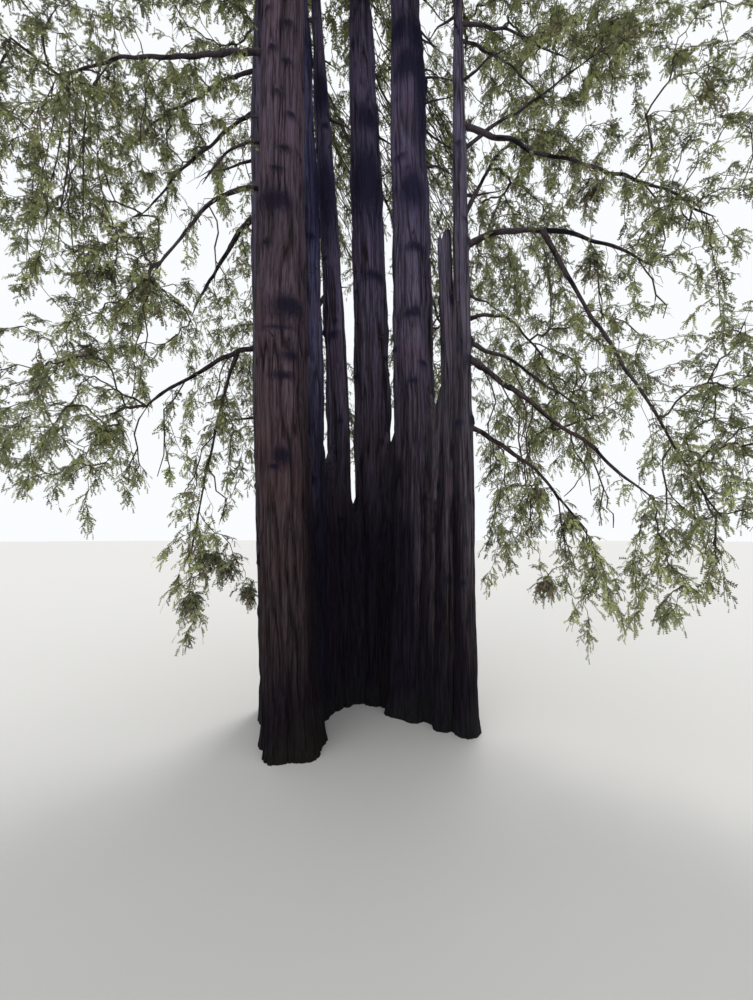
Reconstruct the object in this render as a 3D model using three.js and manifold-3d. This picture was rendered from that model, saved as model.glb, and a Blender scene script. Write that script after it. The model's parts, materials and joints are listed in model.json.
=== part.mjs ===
// A ring of coast redwood stems grown from one root crown: eight stems, one of them snapped off,
// their main boughs, and the masses of foliage that make up the shared crown.
// +Z is up. The origin is the middle of the flat cut under the front left stem, the main one.
// Seen from the front, which is the -Y side, +X is to the right.

import * as THREE from "three";
import { mergeVertices } from "three/addons/utils/BufferGeometryUtils.js";
import Module from "manifold-3d";

const METRE = 1000; // the model is in millimetres, the tables below are in metres
const GAP = 0.5; // mm kept clear between touching solids
const MERGE = 1e-4; // share of a unit shape within which two vertices are one
const COLLAR_HEIGHT = 1.6; // height at which the stems leave the fused root crown
const FLARE_SPREAD = 0.2; // how far a foot spreads at the ground, as a share of its radius
const FLARE_HEIGHT = 0.5; // height over which the spread falls to a third
const TIP_RADIUS = 0.03; // radius of a stem or bough where it ends in a point
const SNAPPED_TOP_SHARE = 0.62; // width of a snapped stem at its break, as a share of its foot
const BOUGH_END_SHARE = 0.32; // a bough's radius at its far end, as a share of that at its root
const BOUGH_COLLAR = 0.5; // extra thickness of a bough where it leaves its stem, as a share
const COLLAR_FALL = 12; // how fast that extra thickness dies away along the bough
const FLUTE_DEPTH = 0.05; // how far the lobes round a stem stand out, as a share of its radius
const FOOT_LOBES = 0.3; // how far the flare follows those lobes
const UNEVENNESS = 0.22; // how far a mass of foliage bulges or dips, as a share of its radius
const RIPPLES = [3.3, 3.9, 4.6]; // how close the bulges lie along X, Y and Z, in radians to a radius
const RIPPLE_SKEW = 2; // how far X also turns the bulges along Z
const RIPPLE_TURN = 2.4; // how far the bulges of one mass are turned from those of the one before
const TURN_SHARES = [1, 1.7, 0.8]; // how far that turn moves the bulges along X, Y and Z

const ROUTE_TENSION = 0.5;
const ROUTE_SAMPLES = 400;
const STEM_SIDES = 8;
const STEM_STEP = 8; // metres of stem to each ring of faces
const FOOT_SIDES = 7;
const FOOT_STEPS = 2;
const WEB_SIDES = 6;
const WEB_STEPS = 3;
const STEM_LEAST_STEPS = 3;
const STEP_ALONG = 0.01; // share of a bough over which its direction is measured
const START_SHARE = 0.05; // share of a bough at which its kept body starts
const BOUGH_SIDES = 5;
const BOUGH_STEPS = 4;
const MASS_DETAIL = 2;
const SMALL_MASS_DETAIL = 1;
const SMALL_MASS = 2.1; // a mass of this half width or less has the coarser faces

const BARK_LIT = new THREE.MeshStandardMaterial({ color: 0x5e3b2c, roughness: 0.95, metalness: 0 });
const BARK_DARK = new THREE.MeshStandardMaterial({ color: 0x33251f, roughness: 0.97, metalness: 0 });
const FOLIAGE = new THREE.MeshStandardMaterial({ color: 0x4d6238, roughness: 0.8, metalness: 0 });

// Each stem: height, diameter above the flare, how long it stays stout (a higher number keeps it
// stout for longer), how many lobes run round it, and the middle of the stem as [height, x, y] at
// a few heights. A snapped stem slopes at its break, higher on its right by so much either way.
const STEMS = {
  stem_front_left: {
    height: 40, width: 1.2, stout: 2.2, flutes: 5,
    route: [[0, 0, 0], [8, -0.39, -0.08], [18, -0.55, -0.15], [40, -0.5, 0.1]],
  },
  stem_rear_left: {
    height: 35.5, width: 1.06, stout: 2.2, flutes: 4,
    route: [[0, -0.57, 1.45], [8, -1.05, 1.5], [18, -1.52, 1.6], [35.5, -1.75, 1.8]],
  },
  stem_inner_left: {
    height: 27.5, width: 0.78, stout: 2, flutes: 3,
    route: [[0, 0.23, 1.35], [8, 0, 1.3], [18, -0.42, 1.42], [27.5, -0.8, 1.6]],
  },
  stem_slender_left: {
    height: 28.5, width: 0.7, stout: 2.3, flutes: 3,
    route: [[0, 0.83, 2.15], [8, 0.68, 2.2], [18, 0.05, 2.35], [28.5, -0.65, 2.6]],
  },
  stem_middle: {
    height: 31, width: 1.06, stout: 3.2, flutes: 4,
    route: [[0, 1.8, 2.5], [8, 1.66, 2.5], [18, 1.38, 2.6], [31, 0.85, 2.8]],
  },
  stem_right: {
    height: 36.5, width: 1.14, stout: 2.8, flutes: 5,
    route: [[0, 2.66, 1.68], [8, 2.8, 1.7], [18, 2.7, 1.8], [36.5, 2.45, 1.9]],
  },
  stem_slender_right: {
    height: 25.5, width: 0.56, stout: 1.9, flutes: 3,
    route: [[0, 3.81, 0.55], [8, 3.89, 0.55], [18, 3.98, 0.5], [25.5, 4.05, 0.55]],
  },
  stem_snapped: {
    height: 12.4, width: 0.62, flutes: 3, snapped: 0.42,
    route: [[0, 3.38, 0.86], [5, 3.5, 0.86], [8.4, 3.66, 0.84], [12.4, 3.56, 0.78]],
  },
};

// The lower stems are fused. Each web is a wall of wood that fills the gap between two of them: its
// height where it meets them, and its thickness at the ground.
const WEBS = [
  { stems: ["stem_front_left", "stem_rear_left"], height: 7, width: 0.9 },
  { stems: ["stem_front_left", "stem_inner_left"], height: 7.6, width: 0.9 },
  { stems: ["stem_inner_left", "stem_slender_left"], height: 7.2, width: 0.72 },
  { stems: ["stem_slender_left", "stem_middle"], height: 6, width: 0.72 },
  { stems: ["stem_middle", "stem_right"], height: 7.9, width: 0.9 },
  { stems: ["stem_right", "stem_snapped"], height: 7.4, width: 0.6 },
];
const WEB_NARROWING = 0.45; // how much thinner a web is at its top, as a share
const WEB_DIP = 1.6; // how far the middle of a web's top lies below its ends

// Each bough: what carries it and at which height (or, on another bough, at which share of it),
// its heading in degrees from +X towards +Y, how far it reaches out, how much it climbs over that
// reach, how far its own weight bends it down, and its thickness at the root.
const BOUGHS = {
  bough_left_high: {
    on: "stem_front_left", at: 16.3, heading: 190, reach: 5, climb: -0.5, sag: 1.3, width: 0.13,
  },
  bough_left_high_rear: {
    on: "stem_rear_left", at: 18.4, heading: 191, reach: 3.6, climb: -1.8, sag: 1.6, width: 0.11,
  },
  bough_left_falling: {
    on: "stem_rear_left", at: 17.2, heading: 198, reach: 3.1, climb: -3.4, sag: 1.2, width: 0.11,
  },
  bough_left_short: {
    on: "stem_front_left", at: 13.8, heading: 197, reach: 1.7, climb: 0.5, sag: 2, width: 0.1,
  },
  bough_left_mid: {
    on: "stem_front_left", at: 12.4, heading: 203, reach: 2.6, climb: 1.3, sag: 4.2, width: 0.13,
  },
  bough_left_mid_rear: {
    on: "stem_rear_left", at: 13.7, heading: 160, reach: 2.6, climb: -0.6, sag: 2, width: 0.17,
  },
  bough_left_low: {
    on: "stem_rear_left", at: 9.7, heading: 210, reach: 2.9, climb: -1.5, sag: 0.9, width: 0.15,
  },
  bough_left_hanging: {
    on: "bough_left_low", at: 0.3, heading: 224, reach: 0.95, climb: -3.4, sag: 2.2, width: 0.09,
  },
  bough_right_top: {
    on: "stem_slender_right", at: 18.2, heading: 9, reach: 3.4, climb: 0.6, sag: 1, width: 0.09,
  },
  bough_right_top_falling: {
    on: "stem_slender_right", at: 17.7, heading: -12, reach: 2.2, climb: -1.3, sag: 1.2, width: 0.08,
  },
  bough_right_long: {
    on: "stem_slender_right", at: 15.2, heading: -15, reach: 5.4, climb: -3.7, sag: 0.1, width: 0.12,
  },
  bough_right_rising: {
    on: "stem_slender_right", at: 14.4, heading: -8, reach: 3.6, climb: 2.1, sag: -0.2, width: 0.1,
  },
  bough_right_steep: {
    on: "stem_slender_right", at: 12.3, heading: 16, reach: 2.7, climb: 6.9, sag: 3.4, width: 0.11,
  },
  bough_right_mid: {
    on: "stem_slender_right", at: 11.7, heading: -14, reach: 4.2, climb: 1.5, sag: 2.8, width: 0.15,
  },
  bough_right_mid_hanging: {
    on: "bough_right_mid", at: 0.46, heading: -23, reach: 3, climb: -7.6, sag: -0.4, width: 0.1,
  },
  bough_right_arched: {
    on: "stem_slender_right", at: 9.7, heading: 12, reach: 2.7, climb: 2.2, sag: 3.4, width: 0.1,
  },
  bough_right_inner: {
    on: "stem_slender_right", at: 9.3, heading: 4, reach: 3.4, climb: -1.4, sag: 0.6, width: 0.1,
  },
  bough_right_low: {
    on: "stem_slender_right", at: 8.9, heading: -17, reach: 3.9, climb: -3.3, sag: 0.5, width: 0.14,
  },
  bough_right_lowest: {
    on: "stem_slender_right", at: 7.1, heading: -15, reach: 2.7, climb: -1, sag: 1.8, width: 0.12,
  },
  bough_back_left: {
    on: "stem_slender_left", at: 12, heading: 118, reach: 3.8, climb: 0.3, sag: 2, width: 0.14,
  },
  bough_back_left_high: {
    on: "stem_rear_left", at: 16.6, heading: 112, reach: 4, climb: 0.9, sag: 1.8, width: 0.14,
  },
  bough_back_right: {
    on: "stem_right", at: 12.6, heading: 62, reach: 4, climb: 0.4, sag: 2, width: 0.15,
  },
  bough_back_right_high: {
    on: "stem_middle", at: 17, heading: 70, reach: 4.2, climb: 0.8, sag: 1.8, width: 0.14,
  },
};

// Each mass of foliage: its middle, its half sizes along X, Y and Z, and how far it narrows
// towards its top (0 for a round mass, near 1 for a spire). A spire also leans, by so much along
// X and Y at its top, to end at the tip of its stem.
const MASSES = {
  spire_front_left: {
    middle: [-0.4, -0.4, 32.3], half: [3.7, 3.5, 7.8],
    narrow: 0.84, lean: [-0.1, 0.45],
  },
  spire_rear_left: {
    middle: [-2.5, 2.5, 29.3], half: [3.3, 3.2, 6.3],
    narrow: 0.82, lean: [0.75, -0.7],
  },
  spire_right: {
    middle: [3.3, 1.7, 29.9], half: [3.6, 3.5, 6.7],
    narrow: 0.82, lean: [-0.85, 0.2],
  },
  spire_middle: {
    middle: [1.2, 4.1, 26.6], half: [3, 2.8, 4.7],
    narrow: 0.72, lean: [-0.35, -1.3],
  },
  spire_slender_left: {
    middle: [-1.5, 4.2, 25.4], half: [2.3, 2.3, 3.4],
    narrow: 0.6, lean: [0.85, -1.6],
  },
  spire_slender_right: {
    middle: [4.8, 0.3, 22.6], half: [2.6, 2.4, 3.5],
    narrow: 0.6, lean: [-0.75, 0.25],
  },
  crown_front_left: { middle: [-1, -2, 22.8], half: [2.9, 2.1, 3.9], narrow: 0.2 },
  crown_front_right: { middle: [2.5, -1.6, 22.4], half: [2.8, 2.3, 3.8], narrow: 0.2 },
  crown_left: { middle: [-3.7, 0.8, 22], half: [2.9, 2.9, 3.9], narrow: 0.35 },
  crown_right: { middle: [6.2, 2, 21.4], half: [2.7, 2.8, 3.7], narrow: 0.35 },
  crown_back_left: { middle: [-1.7, 5, 20.2], half: [3, 2.6, 3.9], narrow: 0.3 },
  crown_back_right: { middle: [3.3, 5.2, 20.6], half: [3.1, 2.6, 4], narrow: 0.3 },
  foliage_left_high: { middle: [-4.3, 1.2, 16.2], half: [2.1, 2.3, 2.8], narrow: 0.1 },
  foliage_left_outer: { middle: [-5.6, -1.2, 13.6], half: [2.1, 2.1, 2.8], narrow: 0.1 },
  foliage_left_mid: { middle: [-4.1, -0.1, 10.6], half: [2, 2.1, 2.4], narrow: 0.1 },
  foliage_left_low: { middle: [-5.1, -0.3, 7.2], half: [1.4, 1.6, 2.4], narrow: -0.2 },
  foliage_left_hanging: { middle: [-2.3, 0, 4.2], half: [0.95, 1, 1.7], narrow: 0.2 },
  foliage_right_high: { middle: [7.1, 0.8, 16.8], half: [2.2, 2.3, 2.9], narrow: 0.1 },
  foliage_right_inner: { middle: [6, 2.2, 13.4], half: [1.7, 1.9, 2.3], narrow: 0.1 },
  foliage_right_outer: { middle: [8.5, -1.1, 12.6], half: [1.8, 2, 2.7], narrow: 0.1 },
  foliage_right_mid: { middle: [7.5, 2, 9.2], half: [1.9, 2, 2.6], narrow: 0 },
  foliage_right_hanging: { middle: [9, -1.5, 6.4], half: [1.2, 1.5, 2.9], narrow: -0.2 },
  foliage_right_low: { middle: [7.9, -0.6, 4.2], half: [1.1, 1.2, 1.7], narrow: 0.1 },
  foliage_right_lowest: { middle: [6.3, 0, 3.6], half: [1, 1.1, 1.5], narrow: 0.1 },
  foliage_back_left: { middle: [-2.5, 5.4, 12.2], half: [2.7, 2.4, 3.5], narrow: 0.1 },
  foliage_back_right: { middle: [5.3, 5.6, 12.4], half: [2.7, 2.4, 3.5], narrow: 0.1 },
  foliage_left_inner: { middle: [-2.25, 2, 7.2], half: [1.15, 1.1, 1.9], narrow: 0.1 },
  foliage_right_drooping: { middle: [5.5, 2.1, 5.9], half: [1.25, 1.15, 3], narrow: -0.1 },
};

const wasm = await Module();
wasm.setup();

// A three.js geometry as a solid that can be cut and joined.
function solidOf(geometry) {
  return new wasm.Manifold(
    new wasm.Mesh({
      numProp: 3,
      vertProperties: new Float32Array(geometry.attributes.position.array),
      triVerts: new Uint32Array(geometry.index.array),
    }),
  );
}

// The geometry with each corner held once, so that a mapping of its corners keeps it closed.
function closedUnit(geometry) {
  geometry.deleteAttribute("normal");
  geometry.deleteAttribute("uv");
  return mergeVertices(geometry, MERGE);
}

// A cylinder laid along a path: place(t, angle, share) gives a point, and side and out, the two
// directions across it (out turned a quarter turn from side). Share is 1 on the wall and 0 in the
// middle of an end. radius(t, angle) is how far the wall stands off.
function limb(sides, steps, place, radius) {
  const geometry = closedUnit(new THREE.CylinderGeometry(1, 1, 1, sides, steps));
  const corners = geometry.attributes.position;
  for (let i = 0; i < corners.count; i += 1) {
    const t = corners.getY(i) + 0.5;
    const angle = Math.atan2(corners.getZ(i), corners.getX(i));
    const share = Math.hypot(corners.getX(i), corners.getZ(i));
    const reach = share * radius(t, angle);
    const { point, side, out } = place(t, angle, share);
    point.addScaledVector(side, reach * Math.cos(angle)).addScaledVector(out, reach * Math.sin(angle));
    corners.setXYZ(i, point.x, point.y, point.z);
  }
  return geometry;
}

function stemRoute(stem) {
  const points = stem.route.map(([z, x, y]) => new THREE.Vector3(x, y, z).multiplyScalar(METRE));
  const curve = new THREE.CatmullRomCurve3(points, false, "catmullrom", ROUTE_TENSION);
  const table = curve.getPoints(ROUTE_SAMPLES);
  return (z) => {
    const height = z * METRE;
    const next = table.findIndex((p, i) => i > 0 && p.z >= height);
    const above = table[next < 0 ? table.length - 1 : next];
    const below = table[next < 0 ? table.length - 2 : next - 1];
    const share = (height - below.z) / (above.z - below.z);
    return below.clone().lerp(above, share);
  };
}

// Radius of a stem in millimetres at a height in metres, without its flare.
function stemRadius(stem, z) {
  const left = stem.snapped
    ? 1 - (1 - SNAPPED_TOP_SHARE) * (z / stem.height)
    : 1 - (z / stem.height) ** stem.stout;
  return METRE * Math.max(TIP_RADIUS, (stem.width / 2) * left);
}

function flutes(stem, angle) {
  return 1 + FLUTE_DEPTH * Math.cos(stem.flutes * angle + stem.height);
}

const ACROSS = new THREE.Vector3(1, 0, 0);
const NEARER = new THREE.Vector3(0, -1, 0);

// A stem from one height to another, with level cuts, made wider all round by extra millimetres.
function stemSolid(stem, from, to, extra) {
  const route = stemRoute(stem);
  const steps = Math.max(STEM_LEAST_STEPS, Math.round((to - from) / STEM_STEP));
  const place = (t, angle) => {
    const point = route(from + (to - from) * t);
    if (stem.snapped && t === 1) point.z += METRE * stem.snapped * Math.cos(angle);
    return { point, side: ACROSS, out: NEARER };
  };
  const radius = (t, angle) => {
    return stemRadius(stem, from + (to - from) * t) * flutes(stem, angle) + extra;
  };
  return solidOf(limb(STEM_SIDES, steps, place, radius));
}

// The flared foot of a stem, from the ground to the collar.
function footSolid(stem) {
  const route = stemRoute(stem);
  const top = COLLAR_HEIGHT - GAP / METRE;
  const place = (t) => ({ point: route(top * t), side: ACROSS, out: NEARER });
  const radius = (t, angle) => {
    const lobes = 1 + FOOT_LOBES * Math.cos(stem.flutes * angle + stem.height);
    const flare = FLARE_SPREAD * lobes * Math.exp((-top * t) / FLARE_HEIGHT);
    return stemRadius(stem, top * t) * (flutes(stem, angle) + flare);
  };
  return solidOf(limb(FOOT_SIDES, FOOT_STEPS, place, radius));
}

// The wall of wood between two fused stems, from the ground to the height where they part.
function webSolid(web) {
  const [one, other] = web.stems.map((name) => stemRoute(STEMS[name]));
  const side = other(0).sub(one(0)).normalize();
  const out = new THREE.Vector3(side.y, -side.x, 0);
  const place = (t, angle, share) => {
    const point = one(web.height * t).lerp(other(web.height * t), 0.5);
    if (t === 1) point.z -= METRE * WEB_DIP * (1 - (share * Math.cos(angle)) ** 2);
    return { point, side, out };
  };
  const radius = (t, angle) => {
    const halfLength = one(web.height * t).distanceTo(other(web.height * t)) / 2;
    const halfWidth = METRE * (web.width / 2) * (1 - WEB_NARROWING * t);
    return 1 / Math.hypot(Math.cos(angle) / halfLength, Math.sin(angle) / halfWidth);
  };
  return solidOf(limb(WEB_SIDES, WEB_STEPS, place, radius));
}

// The middle line of a bough as a function of the share of its reach.
function boughLine(bough) {
  const heading = THREE.MathUtils.degToRad(bough.heading);
  const outward = new THREE.Vector3(Math.cos(heading), Math.sin(heading), 0);
  const carrier = BOUGHS[bough.on] ? boughLine(BOUGHS[bough.on]) : stemRoute(STEMS[bough.on]);
  const start = carrier(bough.at);
  return (t) => {
    const point = start.clone().addScaledVector(outward, METRE * bough.reach * t);
    point.z += METRE * (bough.climb * t - bough.sag * t * t);
    return point;
  };
}

function boughSolid(bough) {
  const line = boughLine(bough);
  const heading = THREE.MathUtils.degToRad(bough.heading);
  const side = new THREE.Vector3(-Math.sin(heading), Math.cos(heading), 0);
  const place = (t) => {
    const along = line(t + STEP_ALONG).sub(line(t - STEP_ALONG)).normalize();
    return { point: line(t), side, out: side.clone().cross(along) };
  };
  const radius = (t) => {
    const taper = 1 - (1 - BOUGH_END_SHARE) * t;
    return METRE * (bough.width / 2) * taper * (1 + BOUGH_COLLAR * Math.exp(-t * COLLAR_FALL));
  };
  return solidOf(limb(BOUGH_SIDES, BOUGH_STEPS, place, radius));
}

// A closed uneven solid of foliage; extra widens it all round by about that many millimetres.
function massSolid(mass, index, extra) {
  const detail = mass.half[0] <= SMALL_MASS ? SMALL_MASS_DETAIL : MASS_DETAIL;
  const geometry = closedUnit(new THREE.IcosahedronGeometry(1, detail));
  const corners = geometry.attributes.position;
  const turn = index * RIPPLE_TURN;
  const [leanX, leanY] = mass.lean ?? [0, 0];
  for (let i = 0; i < corners.count; i += 1) {
    const [x, y, z] = [corners.getX(i), corners.getY(i), corners.getZ(i)];
    const wave =
      Math.sin(RIPPLES[0] * x + TURN_SHARES[0] * turn) +
      Math.sin(RIPPLES[1] * y + TURN_SHARES[1] * turn) +
      Math.sin(RIPPLES[2] * z + TURN_SHARES[2] * turn + RIPPLE_SKEW * x);
    const size = 1 + (UNEVENNESS * wave) / 2;
    const slim = 1 - (mass.narrow * (z + 1)) / 2;
    corners.setXYZ(
      i,
      METRE * (mass.middle[0] + leanX * z) + (METRE * mass.half[0] * slim * size + extra) * x,
      METRE * (mass.middle[1] + leanY * z) + (METRE * mass.half[1] * slim * size + extra) * y,
      METRE * mass.middle[2] + (METRE * mass.half[2] * (1 + (size - 1) / 2) + extra) * z,
    );
  }
  return solidOf(geometry);
}

// Of the bodies that a cut leaves, the one that comes nearest to a point.
function bodyNear(solid, point) {
  const distance = (body) => {
    const { min, max } = body.boundingBox();
    const box = new THREE.Box3(new THREE.Vector3(...min), new THREE.Vector3(...max));
    return box.distanceToPoint(point);
  };
  return solid.decompose().sort((a, b) => distance(a) - distance(b) || b.volume() - a.volume())[0];
}

function largestBody(solid) {
  return solid.decompose().sort((a, b) => b.volume() - a.volume())[0];
}

function meshOf(name, solid, material) {
  const made = solid.getMesh();
  const geometry = new THREE.BufferGeometry();
  geometry.setAttribute("position", new THREE.BufferAttribute(made.vertProperties, 3));
  geometry.setIndex(new THREE.BufferAttribute(made.triVerts, 1));
  geometry.computeVertexNormals();
  const mesh = new THREE.Mesh(geometry, material);
  mesh.name = name;
  return mesh;
}

function cutAll(solid, cutters) {
  return cutters.reduce((left, cutter) => left.subtract(cutter), solid);
}

const tree = new THREE.Group();

// The feet and the webs between the stems, cut back to the faces of the stems above the collar.
function addRootCrown(stemCutters) {
  const webs = WEBS.map((web) => cutAll(webSolid(web), stemCutters));
  const feet = Object.values(STEMS).map(footSolid);
  const crown = [...feet, ...webs].reduce((joined, piece) => joined.add(piece));
  tree.add(meshOf("root_crown", largestBody(crown), BARK_DARK));
}

// Stems that touch are fused on the tree: each one is cut back to the faces of those before it.
function addStems() {
  const before = [];
  for (const [name, stem] of Object.entries(STEMS)) {
    const whole = stemSolid(stem, COLLAR_HEIGHT, stem.height, 0);
    const kept = largestBody(cutAll(whole, before));
    tree.add(meshOf(name, kept, name === "stem_front_left" ? BARK_LIT : BARK_DARK));
    before.push(stemSolid(stem, COLLAR_HEIGHT, stem.height, GAP));
  }
  return before;
}

function addMasses(stemCutters) {
  const before = [];
  Object.entries(MASSES).forEach(([name, mass], index) => {
    const whole = massSolid(mass, index, 0);
    tree.add(meshOf(name, largestBody(cutAll(whole, [...stemCutters, ...before])), FOLIAGE));
    before.push(massSolid(mass, index, GAP));
  });
  return before;
}

function addBoughs(stemCutters, massCutters) {
  const before = [];
  for (const [name, bough] of Object.entries(BOUGHS)) {
    const whole = boughSolid(bough);
    const start = boughLine(bough)(START_SHARE);
    const bare = bodyNear(cutAll(whole, [...stemCutters, ...massCutters, ...before]), start);
    if (!bare) throw new Error(`${name} is swallowed by its neighbours`);
    tree.add(meshOf(name, bare, BARK_DARK));
    before.push(boughSolid({ ...bough, width: bough.width + (2 * GAP) / METRE }));
  }
}

const stemCutters = addStems();
addRootCrown(stemCutters);
const massCutters = addMasses(stemCutters);
addBoughs(stemCutters, massCutters);

export default tree;
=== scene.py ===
"""A ring of coast redwood stems: bark, boughs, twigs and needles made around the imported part."""
import json
import math

import bmesh
import bpy
import numpy as np
from bpy.props import FloatProperty, FloatVectorProperty, IntProperty, PointerProperty
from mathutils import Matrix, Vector
from mathutils.bvhtree import BVHTree


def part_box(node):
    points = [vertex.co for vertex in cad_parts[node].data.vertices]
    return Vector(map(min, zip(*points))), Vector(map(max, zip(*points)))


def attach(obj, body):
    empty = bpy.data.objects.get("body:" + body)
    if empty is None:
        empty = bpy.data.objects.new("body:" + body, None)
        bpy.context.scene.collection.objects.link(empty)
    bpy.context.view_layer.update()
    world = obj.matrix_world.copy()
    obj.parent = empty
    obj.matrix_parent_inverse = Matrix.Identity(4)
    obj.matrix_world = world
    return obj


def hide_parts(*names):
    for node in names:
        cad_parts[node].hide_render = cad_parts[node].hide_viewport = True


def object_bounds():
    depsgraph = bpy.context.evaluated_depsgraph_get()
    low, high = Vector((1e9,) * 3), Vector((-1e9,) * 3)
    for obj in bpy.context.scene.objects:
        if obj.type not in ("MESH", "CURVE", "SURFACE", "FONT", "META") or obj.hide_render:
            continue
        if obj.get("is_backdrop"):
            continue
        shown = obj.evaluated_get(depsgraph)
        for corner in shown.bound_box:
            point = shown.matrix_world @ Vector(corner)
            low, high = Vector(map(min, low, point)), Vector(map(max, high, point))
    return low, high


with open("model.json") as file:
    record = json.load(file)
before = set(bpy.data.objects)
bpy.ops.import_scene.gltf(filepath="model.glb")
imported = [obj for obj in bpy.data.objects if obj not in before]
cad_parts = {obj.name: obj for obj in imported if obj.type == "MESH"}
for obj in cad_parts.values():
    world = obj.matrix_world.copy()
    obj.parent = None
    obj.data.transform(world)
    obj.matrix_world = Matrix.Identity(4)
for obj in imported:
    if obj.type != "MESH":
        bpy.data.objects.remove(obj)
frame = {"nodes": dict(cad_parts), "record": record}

bl_info = {
    "name": "Redwood Ring",
    "version": (1, 0, 0),
    "blender": (4, 5, 0),
    "location": "View3D > Sidebar > Redwood",
    "description": "Makes the bark, boughs, twigs and needles of a ring of redwood stems",
    "category": "Object",
}

CAD_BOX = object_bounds()

# Heights, widths and places are in metres, with +Z up and the photographed side facing -Y.
COLLAR = 1.6  # the stems leave the fused root crown here
FLARE_SPREAD = 0.2  # how far a foot spreads at the ground, as a share of its radius
FLARE_HEIGHT = 0.5  # height over which that spread falls to a third
FLUTE_DEPTH = 0.05  # how far the lobes round a stem stand out, as a share of its radius
FOOT_LOBES = 0.3  # how far the flare follows those lobes
TIP_RADIUS = 0.03
SNAPPED_TOP = 0.62  # width of the snapped stem at its break, as a share of its foot
BOUGH_END = 0.32  # a bough's radius at its far end, as a share of that at its root
BOUGH_COLLAR = 0.5  # extra thickness of a bough where it leaves its stem, as a share
COLLAR_FALL = 12  # how fast that extra thickness dies away along the bough

# Each stem: height, width above the flare, how long it stays stout, the lobes round it, the columns
# of its bark mesh, and its middle as (height, x, y). A burl is (height, heading in degrees from +X,
# half its width, half its height, how far it stands out). A stem may have its own height of row, a
# slope across its snapped top, and paler streaks, each with its heading, foot, top and half its width.
STEMS = {
    "stem_front_left": dict(
        height=40, width=1.2, stout=2.2, flutes=5, columns=208, finish="lit_fibres", row=0.085,
        route=[(0, 0, 0), (8, -0.39, -0.08), (18, -0.55, -0.15), (40, -0.5, 0.1)],
        streaks=[(-67, 2.8, 8.6, 0.06), (-117, 11, 20, 0.08), (-106, 3.4, 7.4, 0.05), (-80, 1.6, 5, 0.04)],
        burls=[
            (9.4, -63, 0.34, 0.26, 0.07), (8.3, -60, 0.18, 0.1, 0.06), (7.85, -75, 0.26, 0.08, 0.05),
            (6.1, -79, 0.22, 0.2, 0.04), (11.9, -88, 0.42, 0.26, 0.05), (12.67, -86, 0.16, 0.07, 0.06),
            (13.2, -70, 0.15, 0.07, 0.06), (14.07, -55, 0.14, 0.08, 0.06), (15.5, -67, 0.15, 0.08, 0.07),
            (15.77, -103, 0.13, 0.09, 0.06), (16.47, -68, 0.16, 0.09, 0.07), (17.3, -80, 0.15, 0.09, 0.06),
            (18.1, -62, 0.15, 0.09, 0.06), (14.6, -88, 0.12, 0.06, 0.05), (8.95, -85, 0.4, 0.04, 0.03),
            (4.4, -158, 0.12, 0.14, 0.07), (3.9, -166, 0.1, 0.12, 0.06), (10.9, -110, 0.12, 0.08, 0.05),
        ],
    ),
    "stem_rear_left": dict(
        height=35.5, width=1.06, stout=2.2, flutes=4, columns=128, finish="grey_fibres",
        route=[(0, -0.57, 1.45), (8, -1.05, 1.5), (18, -1.52, 1.6), (35.5, -1.75, 1.8)],
        burls=[],
    ),
    "stem_inner_left": dict(
        height=27.5, width=0.82, stout=2, flutes=3, columns=104, finish="shade_fibres",
        route=[(0, 0.23, 1.35), (8, 0.02, 1.3), (18, -0.38, 1.42), (27.5, -0.8, 1.6)],
        burls=[(12.5, -60, 0.2, 0.12, 0.05), (13.9, -8, 0.3, 1.5, 0.07), (18.7, -8, 0.3, 0.9, 0.06)],
    ),
    "stem_slender_left": dict(
        height=28.5, width=0.7, stout=2.3, flutes=3, columns=112, finish="plain_fibres",
        route=[(0, 0.83, 2.15), (8, 0.68, 2.2), (18, 0.05, 2.35), (28.5, -0.65, 2.6)],
        burls=[(18.3, -90, 0.5, 0.85, 0.02), (14.7, -95, 0.4, 1.5, 0.02), (10.2, -100, 0.2, 0.12, 0.04)],
    ),
    "stem_middle": dict(
        height=31, width=1.06, stout=3.2, flutes=4, columns=160, finish="plain_fibres",
        route=[(0, 1.8, 2.5), (8, 1.66, 2.5), (18, 1.38, 2.6), (31, 0.85, 2.8)],
        burls=[(15.2, -90, 0.7, 1.2, 0.04), (17.4, -75, 0.4, 0.45, 0.05), (12.1, -70, 0.3, 0.16, 0.05)],
    ),
    "stem_right": dict(
        height=36.5, width=1.14, stout=2.8, flutes=5, columns=176, finish="plain_fibres",
        route=[(0, 2.66, 1.68), (8, 2.8, 1.7), (18, 2.7, 1.8), (36.5, 2.45, 1.9)],
        burls=[
            (19.4, -122, 0.32, 0.42, 0.1), (19.1, -62, 0.34, 0.7, 0.09), (17.9, -20, 0.2, 0.2, 0.08),
            (17.4, -38, 0.3, 2.1, 0.03), (14.1, -85, 0.4, 0.6, 0.04), (12.3, -82, 0.3, 0.12, 0.05),
            (18.2, -95, 0.5, 0.5, 0.02), (10.4, -100, 0.26, 0.1, 0.05), (15.2, -125, 0.2, 0.1, 0.05),
        ],
    ),
    "stem_slender_right": dict(
        height=25.5, width=0.52, stout=1.9, flutes=3, columns=104, finish="grey_fibres",
        route=[(0, 3.81, 0.55), (8, 3.89, 0.55), (18, 3.98, 0.5), (25.5, 4.05, 0.55)],
        burls=[(7.2, -30, 0.12, 0.12, 0.06), (9.2, -20, 0.12, 0.12, 0.05), (11.8, -25, 0.12, 0.12, 0.05)],
    ),
    "stem_snapped": dict(
        height=12.2, width=0.6, stout=1, flutes=3, columns=104, finish="grey_fibres", snapped=0.2,
        route=[(0, 3.38, 0.86), (5, 3.5, 0.86), (8.4, 3.64, 0.84), (12.2, 3.54, 0.78)],
        burls=[(10.4, -60, 0.16, 0.12, 0.05)],
    ),
}

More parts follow.
